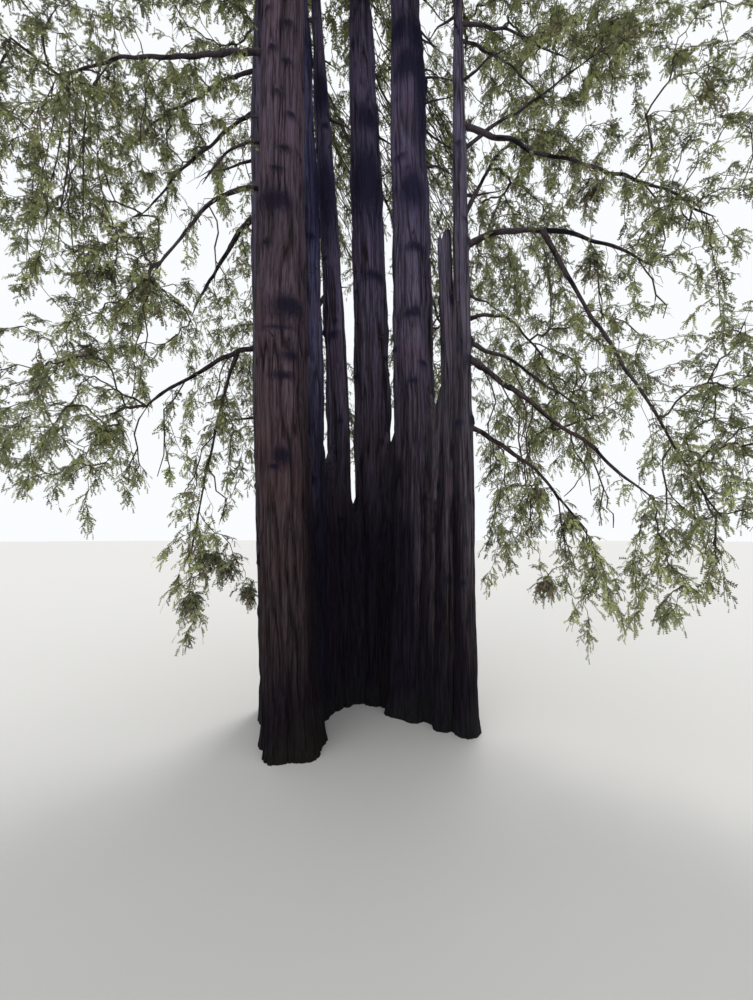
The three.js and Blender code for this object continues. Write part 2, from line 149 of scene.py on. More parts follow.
# The lower stems are fused: a web is a wall of wood that fills the gap between two of them. Each has
# the height where it meets them and its thickness at the ground.
WEBS = [
    ("stem_front_left", "stem_rear_left", 7.8, 0.9), ("stem_front_left", "stem_inner_left", 8.4, 0.9),
    ("stem_inner_left", "stem_slender_left", 7.95, 0.72), ("stem_slender_left", "stem_middle", 6.9, 0.72),
    ("stem_middle", "stem_right", 8.6, 0.9), ("stem_right", "stem_snapped", 9.4, 0.6),
]
WEB_NARROWING = 0.45  # how much thinner a web is at its top, as a share
WEB_DIP = 1.6  # how far the middle of a web's top lies below its ends
WEB_COLUMNS = 64
WEB_SEED = 40
HOLLOW = np.array([1.75, 0.9])  # middle of the space that the stems stand round
MIDDLE_X = 1.75

# The dark of damp and old fire, together with painted shade at the feet and on the sides that face the
# hollow: how much at the feet, the height over which it falls to a third, how much towards the hollow,
# the heights between which that clears, and the darkest.
SOOT_AND_SHADE_LOW, SOOT_AND_SHADE_FALL, HOLLOW_SHADE = 1.22, 4.6, 0.5
HOLLOW_CLEARS, DARKEST = (4.5, 11.5), 0.97
MOSS_HEADING, MOSS_FALL = -40, 0.9

# Each bough: what carries it and at which height (or at which share of another bough), its heading
# in degrees, how far it reaches out and climbs, how far its weight bends it down, and its width.
BOUGHS = {
    "bough_left_high": ("stem_front_left", 16.3, 190, 5, -0.5, 1.3, 0.13),
    "bough_left_high_rear": ("stem_rear_left", 18.4, 191, 3.6, -1.8, 1.6, 0.11),
    "bough_left_falling": ("stem_rear_left", 17.2, 198, 3.1, -3.4, 1.2, 0.11),
    "bough_left_short": ("stem_front_left", 13.8, 197, 1.7, 0.5, 2, 0.1),
    "bough_left_mid": ("stem_front_left", 12.4, 203, 2.6, 1.3, 4.2, 0.13),
    "bough_left_mid_rear": ("stem_rear_left", 13.7, 160, 2.6, -0.6, 2, 0.17),
    "bough_left_low": ("stem_rear_left", 9.7, 210, 2.9, -1.5, 0.9, 0.15),
    "bough_left_hanging": ("bough_left_low", 0.3, 224, 0.95, -3.4, 2.2, 0.09),
    "bough_right_top": ("stem_slender_right", 18.2, 9, 3.4, 0.6, 1, 0.09),
    "bough_right_top_falling": ("stem_slender_right", 17.7, -12, 2.2, -1.3, 1.2, 0.08),
    "bough_right_long": ("stem_slender_right", 15.2, -15, 5.4, -3.7, 0.1, 0.12),
    "bough_right_rising": ("stem_slender_right", 14.4, -8, 3.6, 2.1, -0.2, 0.1),
    "bough_right_steep": ("stem_slender_right", 12.3, 16, 2.7, 6.9, 3.4, 0.11),
    "bough_right_mid": ("stem_slender_right", 11.7, -14, 4.2, 1.5, 2.8, 0.15),
    "bough_right_mid_hanging": ("bough_right_mid", 0.46, -23, 3, -7.6, -0.4, 0.1),
    "bough_right_arched": ("stem_slender_right", 9.7, 12, 2.7, 2.2, 3.4, 0.1),
    "bough_right_inner": ("stem_slender_right", 9.3, 4, 3.4, -1.4, 0.6, 0.1),
    "bough_right_low": ("stem_slender_right", 8.9, -17, 3.9, -3.3, 0.5, 0.14),
    "bough_right_lowest": ("stem_slender_right", 7.1, -15, 2.7, -1, 1.8, 0.12),
    "bough_back_left": ("stem_slender_left", 12, 118, 3.8, 0.3, 2, 0.14),
    "bough_back_left_high": ("stem_rear_left", 16.6, 112, 4, 0.9, 1.8, 0.14),
    "bough_back_right": ("stem_right", 12.6, 62, 4, 0.4, 2, 0.15),
    "bough_back_right_high": ("stem_middle", 17, 70, 4.2, 0.8, 1.8, 0.14),
}

# Masses of foliage are the nodes that carry this slot, and each spire belongs to a stem.
MASSES = [row["node"] for row in frame["record"]["subparts"] if row["material_slot"] == "foliage"]

FINE_HEIGHT = 20  # the bark's faces are finer below this height, where the tree is seen closest
FINE_ROW = 0.125
COARSE_ROW = 0.4
ROUTE_POINTS = 130  # on the curve between two given places of a stem
BOUGH_COLUMNS = 12
BOUGH_ROW = 0.09
BREAK_ROWS = 14  # rows of faces that close the snapped stem's top
GOLDEN_ANGLE = math.radians(137.5)

# Needle colours by spray: name, colour, and how many of 100 sprays wear it near the middle of a
# mass and near its outside. The darker colours near the middle are painted shade; the lighter ones
# near the outside are new growth with painted backlight.
NEEDLE_COLOURS = [
    ("shade", (0.095, 0.105, 0.058), 15, 5),
    ("deep", (0.155, 0.17, 0.082), 27, 16),
    ("green", (0.225, 0.25, 0.11), 30, 31),
    ("olive", (0.3, 0.32, 0.14), 17, 29),
    ("fresh_backlit", (0.4, 0.43, 0.18), 7, 16),
    ("dry", (0.19, 0.145, 0.1), 4, 3),
]
CLUMP_WEIGHTS = [0.62, 0.04, 0.0, 0.0, 0.0, 0.34]  # shares of the same colours in a dark clump
CLUMP_SPRAYS = 26
OUTSIDE_DEPTH = 1.3  # how deep the lighter outside of a mass reaches, new growth with painted backlight
FRINGE_SHARE = 0.8  # how far the fringe is dealt the colours of that outside
NEEDLE_FINISHES = ["needles_" + row[0] for row in NEEDLE_COLOURS]

# Ridge colour of the boughs, and the plain colours of the finer wood.
BOUGH_RIDGE = (0.062, 0.048, 0.04)
WOOD_COLOURS = {"branch_bark": (0.05, 0.036, 0.028), "twig_bark": (0.06, 0.052, 0.026)}

# How each change of the bark tints its ridge colour.
REDDER = (1.25, 0.8, 0.68)
# Higher up the bark turns greyer and bluer: partly weathering and partly painted bluish sky glare.
COOLER = (0.96, 1.0, 1.8)
# Knots darken the bark, and their blue cast is painted bluish shade.
KNOT_AND_SHADE = (0.17, 0.19, 0.4)
# Painted shade, with the dark of damp and old fire, at the feet and towards the hollow.
CHAR_AND_SHADE = (0.05, 0.043, 0.085)

# Dark clumps of old growth that hang on the twigs, mostly in the painted-shade green and dry brown: middle
# and radius.
CLUMPS = [
    ((-1.56, 0.0, 3.66), 0.34), ((-1.9, 0.0, 3.95), 0.22), ((-2.3, 0.0, 3.0), 0.36),
    ((5.52, 0.2, 5.41), 0.26), ((6.1, 0.1, 4.7), 0.3), ((5.46, 0.0, 3.3), 0.3), ((-1.2, 0.6, 3.1), 0.3),
    ((-4.51, -0.2, 10.49), 0.36), ((-4.74, -0.2, 8.5), 0.42), ((-3.47, -0.2, 10.2), 0.32),
    ((-4.27, -0.2, 6.71), 0.36), ((6.78, -0.4, 12.35), 0.4), ((6.63, -0.4, 10.49), 0.42),
]

# Leafy twigs that hang from a bough: the bough, then for each twig its share of the bough's reach
# and the way to its end.
HANGING_TWIGS = [
    ("bough_right_lowest", [
        (0.45, 0.17, -0.1, -1.85), (0.52, 0.25, -0.05, -0.88), (0.97, 0.45, -0.1, -0.9),
    ]),
    ("bough_right_low", [(0.97, 0.25, -0.1, -0.75), (0.97, 0.6, -0.1, -0.95)]),
    ("bough_right_mid_hanging", [(0.6, 0.1, 0.0, -1.3), (0.68, 0.55, 0.0, -1.4)]),
    ("bough_left_hanging", [(0.8, 0.85, 0.0, -1.0), (0.86, -0.35, 0.0, -1.1)]),
    ("bough_left_low", [(0.6, -0.2, -0.1, -1.6), (0.8, 0.1, -0.1, -2.0)]),
    ("bough_right_arched", [(0.7, 0.1, 0.0, -1.5)]),
    ("bough_right_inner", [(0.5, 0.1, 0.1, -1.6), (0.75, 0.2, 0.1, -1.3)]),
    ("bough_right_rising", [(0.97, 1.0, 0.1, 0.95)]),
    ("bough_right_mid_hanging", [(0.35, 1.3, 0.1, 0.5), (0.45, 1.5, -0.1, 0.3), (0.55, 1.4, 0.1, 0.5)]),
    ("bough_right_mid", [
        (0.98, 1.3, 0.1, -0.4), (0.85, 0.9, 0.1, 0.3), (0.5, 0.3, 0.0, -1.6), (0.6, -0.2, 0.1, -1.3),
        (0.78, 0.0, 0.1, -1.5), (0.55, 0.3, 0.2, 0.9), (0.72, 0.1, 0.1, 0.8),
    ]),
    ("bough_right_mid_hanging", [(0.2, 1.2, 0.2, 0.4), (0.28, 1.0, -0.1, 0.0)]),
    ("bough_right_mid", [(0.66, 0.6, 0.1, -1.1)]),
    ("bough_left_high", [(0.97, -0.8, 0.3, -3.6), (0.93, -0.5, 0.2, -4.4), (0.95, -1.0, 0.6, -4.3)]),
    ("bough_right_top", [
        (0.97, 1.06, -0.1, 1.0), (0.97, 2.2, 0.0, 1.1), (0.95, 1.7, 0.1, 0.5), (0.9, 1.5, -0.2, 1.4),
        (0.85, 1.2, 0.3, 1.6), (0.97, 2.6, 0.2, 0.7), (0.8, 1.0, -0.3, 0.9), (0.97, 1.9, -0.3, 1.5),
        (0.97, 1.3, 0.2, 1.6), (0.97, 1.8, 0.3, 1.9), (0.97, 2.4, -0.2, 1.5), (0.97, 1.4, -0.3, 0.8),
        (0.97, 2.3, 0.6, 2.2), (0.97, 1.6, 0.6, 1.2),
    ]),
    ("bough_right_mid_hanging", [
        (0.6, 1.5, 0.1, 0.2), (0.5, 1.6, 0.2, -0.5), (0.62, 1.9, 0.2, -0.4), (0.42, 1.0, 0.3, -0.6),
    ]),
    ("bough_right_long", [(0.97, 0.6, 0.4, -1.8), (0.9, 0.9, 0.3, -1.5), (0.97, 0.3, 0.2, -2.6)]),
    ("bough_right_rising", [(0.97, 1.7, 0.0, 0.9), (0.97, 2.0, 0.1, 1.3), (0.95, 1.3, 0.1, 1.6)]),
    ("bough_back_left", [
        (0.3, 0.95, 0.9, -3.2), (0.22, 1.0, 0.9, -4.6), (0.5, 1.5, 0.3, -1.6), (0.7, 1.6, 0.4, -3.0),
    ]),
    ("bough_back_right", [
        (0.3, -1.0, 1.3, -3.0), (0.2, -0.7, 1.6, -1.2), (0.5, -1.7, 0.5, -2.2), (0.7, -1.2, 0.4, -3.2),
    ]),
    ("bough_back_left_high", [(0.6, 1.7, 0.3, -2.6)]),
    ("bough_back_right_high", [(0.6, -1.5, 0.3, -2.8)]),
]

# Bare dark twigs, in the same way.
BARE_TWIGS = [
    ("bough_right_low", [
        (0.12, 0.1, -0.1, -2.6), (0.22, 0.45, -0.1, -2.4), (0.3, 0.25, -0.05, -1.3),
        (0.4, -0.15, -0.1, -1.9), (0.52, 0.7, -0.1, -1.7), (0.66, 0.3, 0.0, -1.9),
    ]),
    ("bough_right_lowest", [
        (0.25, 0.35, -0.1, -1.7), (0.4, 0.6, 0.1, -2.0), (0.7, 0.3, 0.0, -1.6), (0.85, 0.7, 0.1, -1.2),
    ]),
    ("bough_right_inner", [(0.35, 0.3, 0.0, -1.8)]),
    ("bough_right_arched", [(0.9, 0.1, 0.0, -2.4)]),
    ("bough_left_low", [(0.35, -0.35, -0.1, -1.5), (0.7, -0.5, -0.1, -2.4), (0.95, -0.3, -0.1, -1.9)]),
    ("bough_left_hanging", [(0.5, -0.5, -0.1, -1.6), (0.65, 0.5, -0.1, -1.3)]),
    ("bough_left_mid", [(0.9, -0.3, 0.0, -2.2), (0.6, 0.2, 0.0, -1.9)]),
    ("bough_left_high", [(0.55, -0.4, 0.0, -2.2), (0.8, -0.2, 0.0, -2.4)]),
    ("bough_right_mid_hanging", [(0.75, -0.3, 0.0, -1.7)]),
    ("bough_right_mid", [(0.7, 0.2, 0.0, -2.0)]),
    ("bough_right_mid_hanging", [(0.9, 0.2, 0.0, -1.4)]),
    ("bough_left_high", [(0.75, -0.3, -0.1, -4.0), (0.93, 0.3, -0.2, -4.4)]),
    ("bough_right_long", [(0.75, 0.2, -0.1, -1.8)]),
    ("bough_right_mid", [(0.4, 0.3, -0.1, -2.6), (0.93, 0.4, -0.1, -1.5)]),
]

# Side branches that stand out between the stems: stem, height, heading, length and rise.
SIDE_BRANCHES = [
    ("stem_right", 17.2, -25, 1.1, -0.1), ("stem_right", 16.9, 20, 1.5, -0.5),
    ("stem_right", 15.3, 0, 1.2, -0.15), ("stem_right", 18.4, 10, 1.3, 0.4),
    ("stem_middle", 17.2, -15, 0.9, -0.7), ("stem_middle", 15.4, -40, 0.7, 0.1),
    ("stem_slender_left", 17.5, -30, 1.0, -1.0), ("stem_snapped", 10.6, -20, 0.5, 0.2),
    ("stem_front_left", 14.6, 178, 0.8, 0.1), ("stem_rear_left", 7.6, 186, 1.0, -0.2),
    ("stem_rear_left", 15.2, 200, 1.4, -1.0), ("stem_slender_right", 13.2, 10, 1.2, 0.5),
    ("stem_slender_right", 16.4, -30, 1.3, 0.3), ("stem_slender_right", 10.5, 5, 0.9, -0.4),
    ("stem_right", 19.0, 25, 0.9, 0.2), ("stem_right", 19.9, 10, 0.8, -0.3),
    ("stem_right", 20.7, 30, 1.1, -0.6), ("stem_slender_right", 19.4, 160, 0.9, 0.2),
    ("stem_slender_right", 20.3, 172, 1.0, -0.5), ("stem_slender_right", 18.5, 150, 0.9, -0.1),
    ("stem_right", 21.6, 12, 1.0, -0.8),
]

# Thin strands that hang behind the stems: where their tops lie, and which way they run down.
STRAND_LOW, STRAND_HIGH = np.array([-1.6, 2.6, 17.0]), np.array([4.4, 6.4, 25.0])
STRAND_WAY = np.array([0.45, -0.08, -1.0])
STRAND_LENGTH = (1.8, 4.8)
STRANDS_TO_A_MASS = 84

# A hanging twig that is longer than the first has one side shoot for each of the second.
LONG_TWIG, SHOOT_EVERY = 1.5, 0.4
WEEPING_SHARE = 0.07  # how many joints of a low mass's branches carry a hanging branchlet
BRANCHLET_ROOM = 0.36  # between the drooping branchlets along a bough
STUB_ROOM, STUBS_LOW, STUBS_HIGH = 0.62, 9.0, 24  # between the dead stubs up a stem, and where they end
BACK_FULL, BACK_SHARE = 24, 0.62  # the back of the crown has this share of its twigs below this height

# Branches of the crown leave their stems this far apart, from this height up. The lowest twigs and
# leaves end at these heights.
ROOT_ROOM, LOWEST_ROOT = 0.45, 12.0
LOWEST_TWIG, LOWEST_LEAF = 1.4, 0.6
BOUGH_JOINTS = np.linspace(0.12, 0.97, 18)  # shares of a bough's reach where branches may leave it
LONGEST_LIMB = 5.5  # how far from a stem a mass may lie that grows on it
HIGH_MARGIN, LOW_MARGIN = 0.4, 0.22  # how far branch ends stay within a mass

# Spires: the least and most room between main branches, the slope of the lowest and how much steeper
# the top one is, and the shortest branch round the tip.
WHORL_ROOM = (0.26, 0.4)
WHORL_SLOPE, WHORL_RISE = -0.38, 0.85
TIP_BRANCH = 0.3

# Each kind of branch: its thinnest and thickest radius, and the sides of its tube.
HIGH_BRANCH = (0.012, 0.07, 4)
LOW_BRANCH = (0.007, 0.045, 4)
FRINGE_BRANCH = (0.006, 0.03, 4)
BARE_BRANCH = (0.013, 0.02, 5)
STRAND = (0.017, 0.017, 3)

# How twigs stand along a branch: the room between them, unless its habit gives that, the bare share
# next to its joint, and their spread.
MASS_TWIGS = (0.35, math.radians(52))
STRAND_TWIGS = (0.5, 0.1, math.radians(40))
FRINGE_TWIGS = (0.26, 0.3, math.radians(58))

# How each kind of mass grows: the room between its branch ends and between the twigs along a branch,
# the length of a twig and of a needled shoot, the shoots to a twig, and a twig's radius.
HABITS = {
    "foliage": (0.6, 0.155, 0.36, 0.138, 8, 0.007),
    "foliage_back": (0.68, 0.22, 0.4, 0.15, 7, 0.007),
    "crown": (0.84, 0.22, 0.58, 0.2, 8, 0.01),
    "crown_back": (0.95, 0.3, 0.44, 0.17, 7, 0.009),
    "spire": (0.88, 0.24, 0.8, 0.3, 7, 0.014),
    "clump": (0.6, 0.17, 0.25, 0.12, 10, 0.006),
}
TEETH = 4  # needles on each side of a shoot
TWIG_STEPS = 2
SHOOT_DROOP = 0.22

# The starts of the random numbers of some groups.
BURL_SEED, STUB_SEED, BOUGH_SEED, FRINGE_SEED = 5, 3, 60, 99

# Between these pixels across the photograph's frame and nearer than this y, the stems stand bare up
# to this height.
BARE_LEFT, BARE_RIGHT, BARE_BACK, BARE_TOP = 256, 478, 2.9, 20
LACE = (420, 454, 120)  # thin leaf between the right stems: left and right edges and foot, in pixels

FRAME_WIDTH, FRAME_HEIGHT = 753, 1000
SENSOR = 36
FLOOR_RADIUS = 420
FURTHEST_SEEN = 1000

# Openings in the crown: middle and half sizes in the photograph's 753 x 1000 frame.
SKY_GAPS = [
    (194, 187, 17, 24), (172, 248, 13, 42), (141, 45, 27, 10), (146, 157, 10, 8), (52, 88, 11, 7),
    (145, 425, 12, 24), (158, 381, 8, 24), (154, 332, 16, 11), (158, 471, 7, 24), (662, 91, 20, 20),
    (564, 87, 15, 7), (695, 212, 13, 9), (660, 281, 24, 16), (672, 240, 10, 9), (500, 137, 8, 8),
    (486, 182, 13, 8), (654, 322, 16, 8), (536, 342, 11, 8), (495, 388, 22, 6), (596, 357, 15, 11),
    (499, 24, 8, 6), (640, 215, 6, 9), (55, 16, 8, 8), (51, 51, 8, 10), (219, 31, 10, 9), (220, 108, 8, 8),
    (231, 178, 8, 10), (125, 251, 7, 8), (163, 12, 9, 6), (6, 178, 6, 8), (114, 188, 7, 5), (35, 229, 8, 6),
    (576, 120, 13, 10), (600, 114, 10, 9), (688, 39, 8, 8), (635, 167, 8, 8), (133, 75, 7, 8),
    (196, 112, 8, 12), (83, 66, 6, 8), (183, 35, 10, 7), (521, 239, 9, 8), (531, 263, 8, 8),
    (63, 186, 7, 9), (30, 246, 6, 6), (82, 207, 7, 7), (74, 166, 7, 7), (39, 297, 9, 10), (32, 342, 8, 7),
    (96, 150, 7, 7), (20, 205, 5, 6), (24, 132, 7, 8), (62, 138, 6, 6), (694, 246, 13, 10),
    (714, 204, 10, 8), (686, 177, 10, 7), (612, 242, 8, 7), (580, 236, 7, 6), (603, 214, 7, 6),
    (720, 230, 7, 7), (728, 172, 7, 7), (236, 201, 7, 8), (202, 271, 9, 8), (241, 112, 6, 12),
    (106, 297, 6, 8), (239, 282, 7, 9), (208, 240, 8, 7), (178, 140, 8, 8), (44, 126, 6, 6),
    (96, 232, 6, 8), (12, 154, 6, 7), (110, 132, 6, 6), (511, 159, 7, 6), (493, 200, 7, 6),
    (539, 164, 6, 6), (596, 144, 8, 7), (687, 152, 8, 7), (705, 110, 8, 6), (650, 140, 7, 6),
    (517, 200, 6, 6), (560, 200, 6, 6), (512, 33, 8, 6), (537, 54, 6, 6), (582, 68, 9, 8), (530, 90, 6, 6),
    (625, 110, 9, 8), (553, 116, 7, 6), (632, 162, 8, 7), (677, 175, 8, 6), (740, 150, 8, 8),
    (715, 140, 8, 7), (655, 187, 7, 6), (160, 190, 7, 7), (185, 225, 8, 8), (215, 150, 7, 8),
    (140, 205, 6, 8), (128, 120, 7, 7), (328, 51, 5, 10), (336, 78, 5, 8), (334, 157, 4, 14),
    (342, 196, 4, 12), (373, 15, 6, 18), (383, 45, 5, 14), (385, 98, 4, 8), (386, 131, 4, 8),
    (434, 130, 8, 9), (437, 200, 8, 8), (92, 70, 8, 8), (104, 112, 7, 6),
]


def number_setting(name, description, default, low=0.0, **more):
    """A number in the side panel."""
    return FloatProperty(name=name, description=description, default=default, min=low, **more)


def colour_setting(name, description, default):
    """A colour in the side panel."""
    return FloatVectorProperty(
        name=name, description=description, subtype="COLOR", default=default, min=0, max=1
    )


class BarkSettings(bpy.types.PropertyGroup):
    """Sizes and colours of the bark."""

    seed: IntProperty(name="Seed", description="Start of the bark's random numbers", default=11)
    ridge_width: number_setting("Ridge width", "Distance between furrows", 0.09, 0.03, unit="LENGTH")
    furrow_depth: number_setting("Furrow depth", "How deep the furrows are cut", 0.05, unit="LENGTH")
    ridge_length: number_setting(
        "Ridge length", "Length over which a ridge holds its line", 1.9, unit="LENGTH"
    )
    swelling: number_setting("Swelling", "How far a stem bulges and dips", 0.03, unit="LENGTH")
    lit: colour_setting("Lit bark", "Ridge colour of the front stem", (0.092, 0.063, 0.062))
    plain: colour_setting("Plain bark", "Ridge colour of the middle and right stems", (0.104, 0.084, 0.1))
    shade: colour_setting("Shade bark", "Ridge colour of the inner stem", (0.084, 0.076, 0.11))
    grey: colour_setting("Grey bark", "Ridge colour of the smoother outer stems", (0.105, 0.088, 0.094))
    moss: colour_setting("Moss", "Colour of the moss on the feet", (0.012, 0.015, 0.008))


class CrownSettings(bpy.types.PropertyGroup):
    """Sizes of the branches, twigs and needles."""

    seed: IntProperty(name="Seed", description="Start of the crown's random numbers", default=7)
    leafiness: number_setting("Leafiness", "How many twigs grow to a metre of branch, as a share", 1, 0.1)
    spray_size: number_setting("Spray size", "Length of the twigs and shoots, as a share", 1, 0.1)
    needle: number_setting("Needle", "Length of a needle as a share of its shoot", 0.34, 0.05, max=1)
    slant: number_setting("Slant", "Angle between a needle and its shoot", math.radians(52), subtype="ANGLE")
    droop: number_setting("Droop", "How far a twig bends down, as a share of its length", 0.5)


class StageSettings(bpy.types.PropertyGroup):
    """The camera, floor and light."""

    eye: FloatVectorProperty(
        name="Eye", description="Where the camera stands", subtype="XYZ", unit="LENGTH",
        default=(1.78, -8.4, 4.4),
    )
    pitch: number_setting(
        "Pitch", "How far the camera looks up", math.radians(5.5), -math.pi / 2, subtype="ANGLE"
    )
    lens: number_setting("Lens", "Focal length on a 36 mm sensor", 13.536, 1, unit="CAMERA")
    floor: colour_setting("Floor", "Colour of the floor", (0.62, 0.61, 0.595))
    sky: colour_setting("Sky", "Colour of the soft light all round", (0.96, 0.98, 1))
    sky_strength: number_setting("Sky strength", "Strength of that light", 1.0)
    key_strength: number_setting("Key strength", "Strength of the soft high light", 1.4)


class Value:
    """A number that a material's nodes work out, usable in Python sums."""

    def __init__(self, tree, socket):
        self.tree = tree
        self.socket = socket

    def _sum(self, operation, *terms):
        node = self.tree.nodes.new("ShaderNodeMath")
        node.operation = operation
        for socket, term in zip(node.inputs, terms):
            if isinstance(term, Value):
                self.tree.links.new(term.socket, socket)
            else:
                socket.default_value = term
        return Value(self.tree, node.outputs[0])

    def __add__(self, other):
        return self._sum("ADD", self, other)

    def __sub__(self, other):
        return self._sum("SUBTRACT", self, other)

    def __rsub__(self, other):
        return self._sum("SUBTRACT", other, self)

    def __mul__(self, other):
        return self._sum("MULTIPLY", self, other)

    __radd__ = __add__
    __rmul__ = __mul__


class Finish:
    """A material whose nodes are added one by one."""

    def __init__(self, name):
        self.material = bpy.data.materials.new(name)
        self.material.use_nodes = True
        self.tree = self.material.node_tree
        self.shader = next(n for n in self.tree.nodes if n.type == "BSDF_PRINCIPLED")

    def put(self, node, sockets):
        """Sets or links a node's input sockets, named or numbered."""
        for key, value in sockets.items():
            socket = node.inputs[key]
            if isinstance(value, Value):
                self.tree.links.new(value.socket, socket)
            else:
                socket.default_value = value

    def node(self, kind, settings, sockets, output=0):
        """Adds a node: its settings first, then its sockets. Returns one of its outputs."""
        made = self.tree.nodes.new(kind)
        for name, value in settings.items():
            setattr(made, name, value)
        self.put(made, sockets)
        return Value(self.tree, made.outputs[output])

    def blend(self, share, first, second):
        """A colour between two others."""
        settings = {"data_type": "RGBA", "clamp_factor": True}
        return self.node("ShaderNodeMix", settings, {0: share, 6: first, 7: second}, 2)

    def fitted(self, value, low, high):
        """A value brought from low..high to 0..1 and held there."""
        return self.node("ShaderNodeMapRange", {"clamp": True}, {0: value, 1: low, 2: high})

    def noise(self, place, scale, detail, roughness):
        """Cloudy noise from 0 to 1."""
        sockets = {0: place, "Scale": scale, "Detail": detail, "Roughness": roughness}
        return self.node("ShaderNodeTexNoise", {}, sockets)

    def stretched(self, place, along):
        """A place whose height counts for less, so that noise runs up the stem."""
        return self.node("ShaderNodeMapping", {}, {0: place, 3: (1, 1, along)})

    def mark(self, name):
        """A value that the mesh holds at each corner."""
        return self.node("ShaderNodeAttribute", {"attribute_name": name}, {}, 2)


def rgba(colour, share=1.0):
    return (*(channel * share for channel in colour), 1.0)


def tinted(colour, tint):
    return tuple(channel * share for channel, share in zip(colour, tint))


def bark_finish(name, ridge, moss):
    """Fibrous bark from mesh attributes: streaked ridges, dark burls, moss, and painted shade in the furrows,
    at the feet and towards the hollow.
    """
    finish = Finish(name)
    place = finish.node("ShaderNodeTexCoord", {}, {}, 3)
    streaks = finish.noise(finish.stretched(place, 0.07), 15, 7, 0.62)
    fibres = finish.noise(finish.stretched(place, 0.035), 42, 5, 0.7)
    patches = finish.noise(place, 0.9, 4, 0.55)
    crumbs = finish.noise(place, 26, 6, 0.7)
    crack, burl, green, soot, streak = map(finish.mark, ("crack", "burl", "moss", "soot", "streak"))
    grain = finish.fitted(streaks * 0.5 + fibres * 0.5, 0.42, 0.6)
    colour = finish.blend(grain, rgba(ridge, 0.3), rgba(ridge, 1.45))
    paler = tuple(0.4 * sum(ridge) / 3 + 1.5 * c for c in ridge)
    colour = finish.blend(0.8 * streak * grain, colour, rgba(paler))
    colour = finish.blend(finish.fitted(patches, 0.5, 0.7) * 0.45, colour, rgba(tinted(ridge, REDDER)))
    height = finish.node("ShaderNodeSeparateXYZ", {}, {0: place}, 2)
    # Higher up the bark turns greyer, bluer and a little lighter: weathering, with painted sky glare.
    weathered_and_glare = finish.fitted(height, 2, 14)
    colour = finish.blend(weathered_and_glare * (0.3 + 0.5 * grain), colour, rgba(tinted(ridge, COOLER), 1.1))
    # Painted shade: the bark darkens in its furrows.
    colour = finish.blend(crack * (1.15 - 0.35 * grain), colour, rgba(ridge, 0.12))
    # Burls darken to knots; the blue of that dark is painted shade.
    knot_and_shade = burl * (1.6 - 0.9 * finish.fitted(crumbs, 0.35, 0.75))
    colour = finish.blend(knot_and_shade, colour, rgba(tinted(ridge, KNOT_AND_SHADE)))
    # Painted shade, with the dark of damp and old fire: the bark darkens to a blue-black at the feet and
    # towards the hollow.
    char_and_shade = tinted(ridge, CHAR_AND_SHADE)
    colour = finish.blend(soot, colour, finish.blend(grain, rgba(char_and_shade, 0.5), rgba(char_and_shade, 2)))
    colour = finish.blend(0.4 * green * finish.fitted(crumbs, 0.3, 0.55), colour, rgba(moss))
    relief = fibres * 0.5 + streaks * 0.35 + crumbs * 0.15 + burl * crumbs
    bump = finish.node("ShaderNodeBump", {}, {"Strength": 0.75, "Distance": 0.03, "Height": relief})
    rough = 1.15 - 0.3 * finish.fitted(grain, -1.2, 1.1)
    sockets = {"Base Color": colour, "Roughness": rough, "Normal": bump, "Specular IOR Level": 0.12}
    finish.put(finish.shader, sockets)
    return finish.material


def plain_finish(name, colour, roughness=0.7, specular=0.3):
    """One even colour, for needles and twigs, whose colours are dealt out by spray."""
    finish = Finish(name)
    sockets = {"Base Color": rgba(colour), "Roughness": roughness, "Specular IOR Level": specular}
    finish.put(finish.shader, sockets)
    return finish.material


def finish_of(name):
    """The material of that name, made the first time it is asked for."""
    if name in bpy.data.materials:
        return bpy.data.materials[name]
    bark = bpy.context.scene.redwood_bark
    ridges = {
        "lit_fibres": bark.lit, "plain_fibres": bark.plain, "shade_fibres": bark.shade,
        "grey_fibres": bark.grey, "bough_fibres": BOUGH_RIDGE,
    }
    if name in ridges:
        return bark_finish(name, tuple(ridges[name]), tuple(bark.moss))
    needles = dict(zip(NEEDLE_FINISHES, (row[1] for row in NEEDLE_COLOURS)))
    return plain_finish(name, (WOOD_COLOURS | needles)[name])


class Noise:
    """Smooth seeded noise from -1 to 1 on a square lattice that wraps round."""

    SIZE = 512

    def __init__(self, seed):
        self.table = np.random.default_rng(seed).uniform(-1, 1, (self.SIZE, self.SIZE))

    def at(self, across, along, wrap=SIZE):
        """The noise at these places; across repeats after wrap cells."""
        low_x, low_y = np.floor(across), np.floor(along)
        part_x, part_y = across - low_x, along - low_y
        part_x, part_y = (part * part * (3 - 2 * part) for part in (part_x, part_y))
        x0, y0 = (low_x % wrap).astype(int), (low_y % self.SIZE).astype(int)
        x1, y1 = (x0 + 1) % wrap, (y0 + 1) % self.SIZE
        low = self.table[x0, y0] * (1 - part_x) + self.table[x1, y0] * part_x
        high = self.table[x0, y1] * (1 - part_x) + self.table[x1, y1] * part_x
        return low * (1 - part_y) + high * part_y


def smooth_step(value, low, high):
    share = np.clip((value - low) / (high - low), 0, 1)
    return share * share * (3 - 2 * share)


def placed(name, data):
    """A new object in the scene."""
    made = bpy.data.objects.new(name, data)
    bpy.context.scene.collection.objects.link(made)
    return made


def new_piece(name, mesh, finishes, nodes):
    """A finished piece at the origin that rides on the tree's one body."""
    piece = placed(name, mesh)
    for finish in finishes:
        mesh.materials.append(finish_of(finish))
    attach(piece, "root")
    if nodes:
        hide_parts(*nodes)


